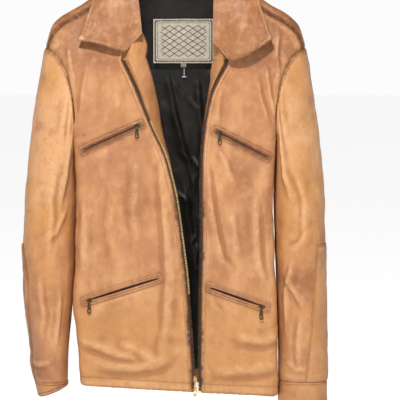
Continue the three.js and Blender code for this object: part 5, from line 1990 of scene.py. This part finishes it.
floor_mesh = bpy.data.meshes.new("floor")
floor_corners = [(x * FLOOR_REACH, y * FLOOR_REACH, FLOOR_Z) for x, y in SQUARE]
floor_mesh.from_pydata(floor_corners, [], [[0, 1, 2, 3]])
floor = bpy.data.objects.new("floor", floor_mesh)
bpy.context.scene.collection.objects.link(floor)
floor_mesh.materials.append(floor_material())


def studio_world():
    """White wall behind the jacket, a pale band along the horizon, and a dimmer room elsewhere."""
    world = bpy.data.worlds.new("studio")
    bpy.context.scene.world = world
    world.use_nodes = True
    tree = world.node_tree

    def ramp(value, low, high, first, last):
        node = tree.nodes.new("ShaderNodeMapRange")
        for key, number in (("From Min", low), ("From Max", high), ("To Min", first), ("To Max", last)):
            node.inputs[key].default_value = number
        tree.links.new(value, node.inputs["Value"])
        return node.outputs["Result"]

    def math_node(operation, *values):
        node = tree.nodes.new("ShaderNodeMath")
        node.operation = operation
        for value, socket in zip(values, node.inputs):
            tree.links.new(value, socket)
        return node.outputs["Value"]

    where = tree.nodes.new("ShaderNodeTexCoord")
    split = tree.nodes.new("ShaderNodeSeparateXYZ")
    tree.links.new(where.outputs["Generated"], split.inputs["Vector"])
    wall = ramp(split.outputs["Y"], 0.92, 0.97, AMBIENT, 1.0)
    band = ramp(math_node("ABSOLUTE", split.outputs["Z"]), 0.075, 0.1, HORIZON, AMBIENT)
    back = tree.nodes["Background"]
    back.inputs["Color"].default_value = lin(252, 252, 252)
    tree.links.new(math_node("MAXIMUM", wall, band), back.inputs["Strength"])


studio_world()
bpy.context.scene.view_settings.view_transform = "Standard"


def lamp(name, place, target, size, power, color):
    data = bpy.data.lights.new(name, "AREA")
    data.shape = "RECTANGLE"
    data.size, data.size_y = size
    data.energy = power
    data.color = color
    obj = bpy.data.objects.new(name, data)
    bpy.context.scene.collection.objects.link(obj)
    obj.location = place
    obj.rotation_euler = (Vector(target) - Vector(place)).to_track_quat("-Z", "Y").to_euler()


lamp("key", (-0.4, -2.65, 2.65), (0, -0.05, -0.38), (0.34, 0.34), 168, (1.0, 0.965, 0.935))
lamp("fill", (0.9, -2.6, 0.0), (0, -0.05, -0.4), (1.6, 1.8), 5, (0.97, 0.98, 1.0))

AIM = Vector((0.046, -0.102, -0.386))
SENSOR = 36.0
DISTANCE = 4.9
SEEN_WIDTH = 0.742  # across the picture, at the jacket
ELEVATION = math.radians(4)
camera_data = bpy.data.cameras.new("camera")
camera_data.sensor_width = SENSOR
camera_data.lens = SENSOR * DISTANCE / SEEN_WIDTH
camera = bpy.data.objects.new("camera", camera_data)
bpy.context.scene.collection.objects.link(camera)
camera.location = AIM + DISTANCE * Vector((0, -math.cos(ELEVATION), math.sin(ELEVATION)))
camera.rotation_euler = (math.radians(90) - ELEVATION, 0, 0)
bpy.context.scene.camera = camera
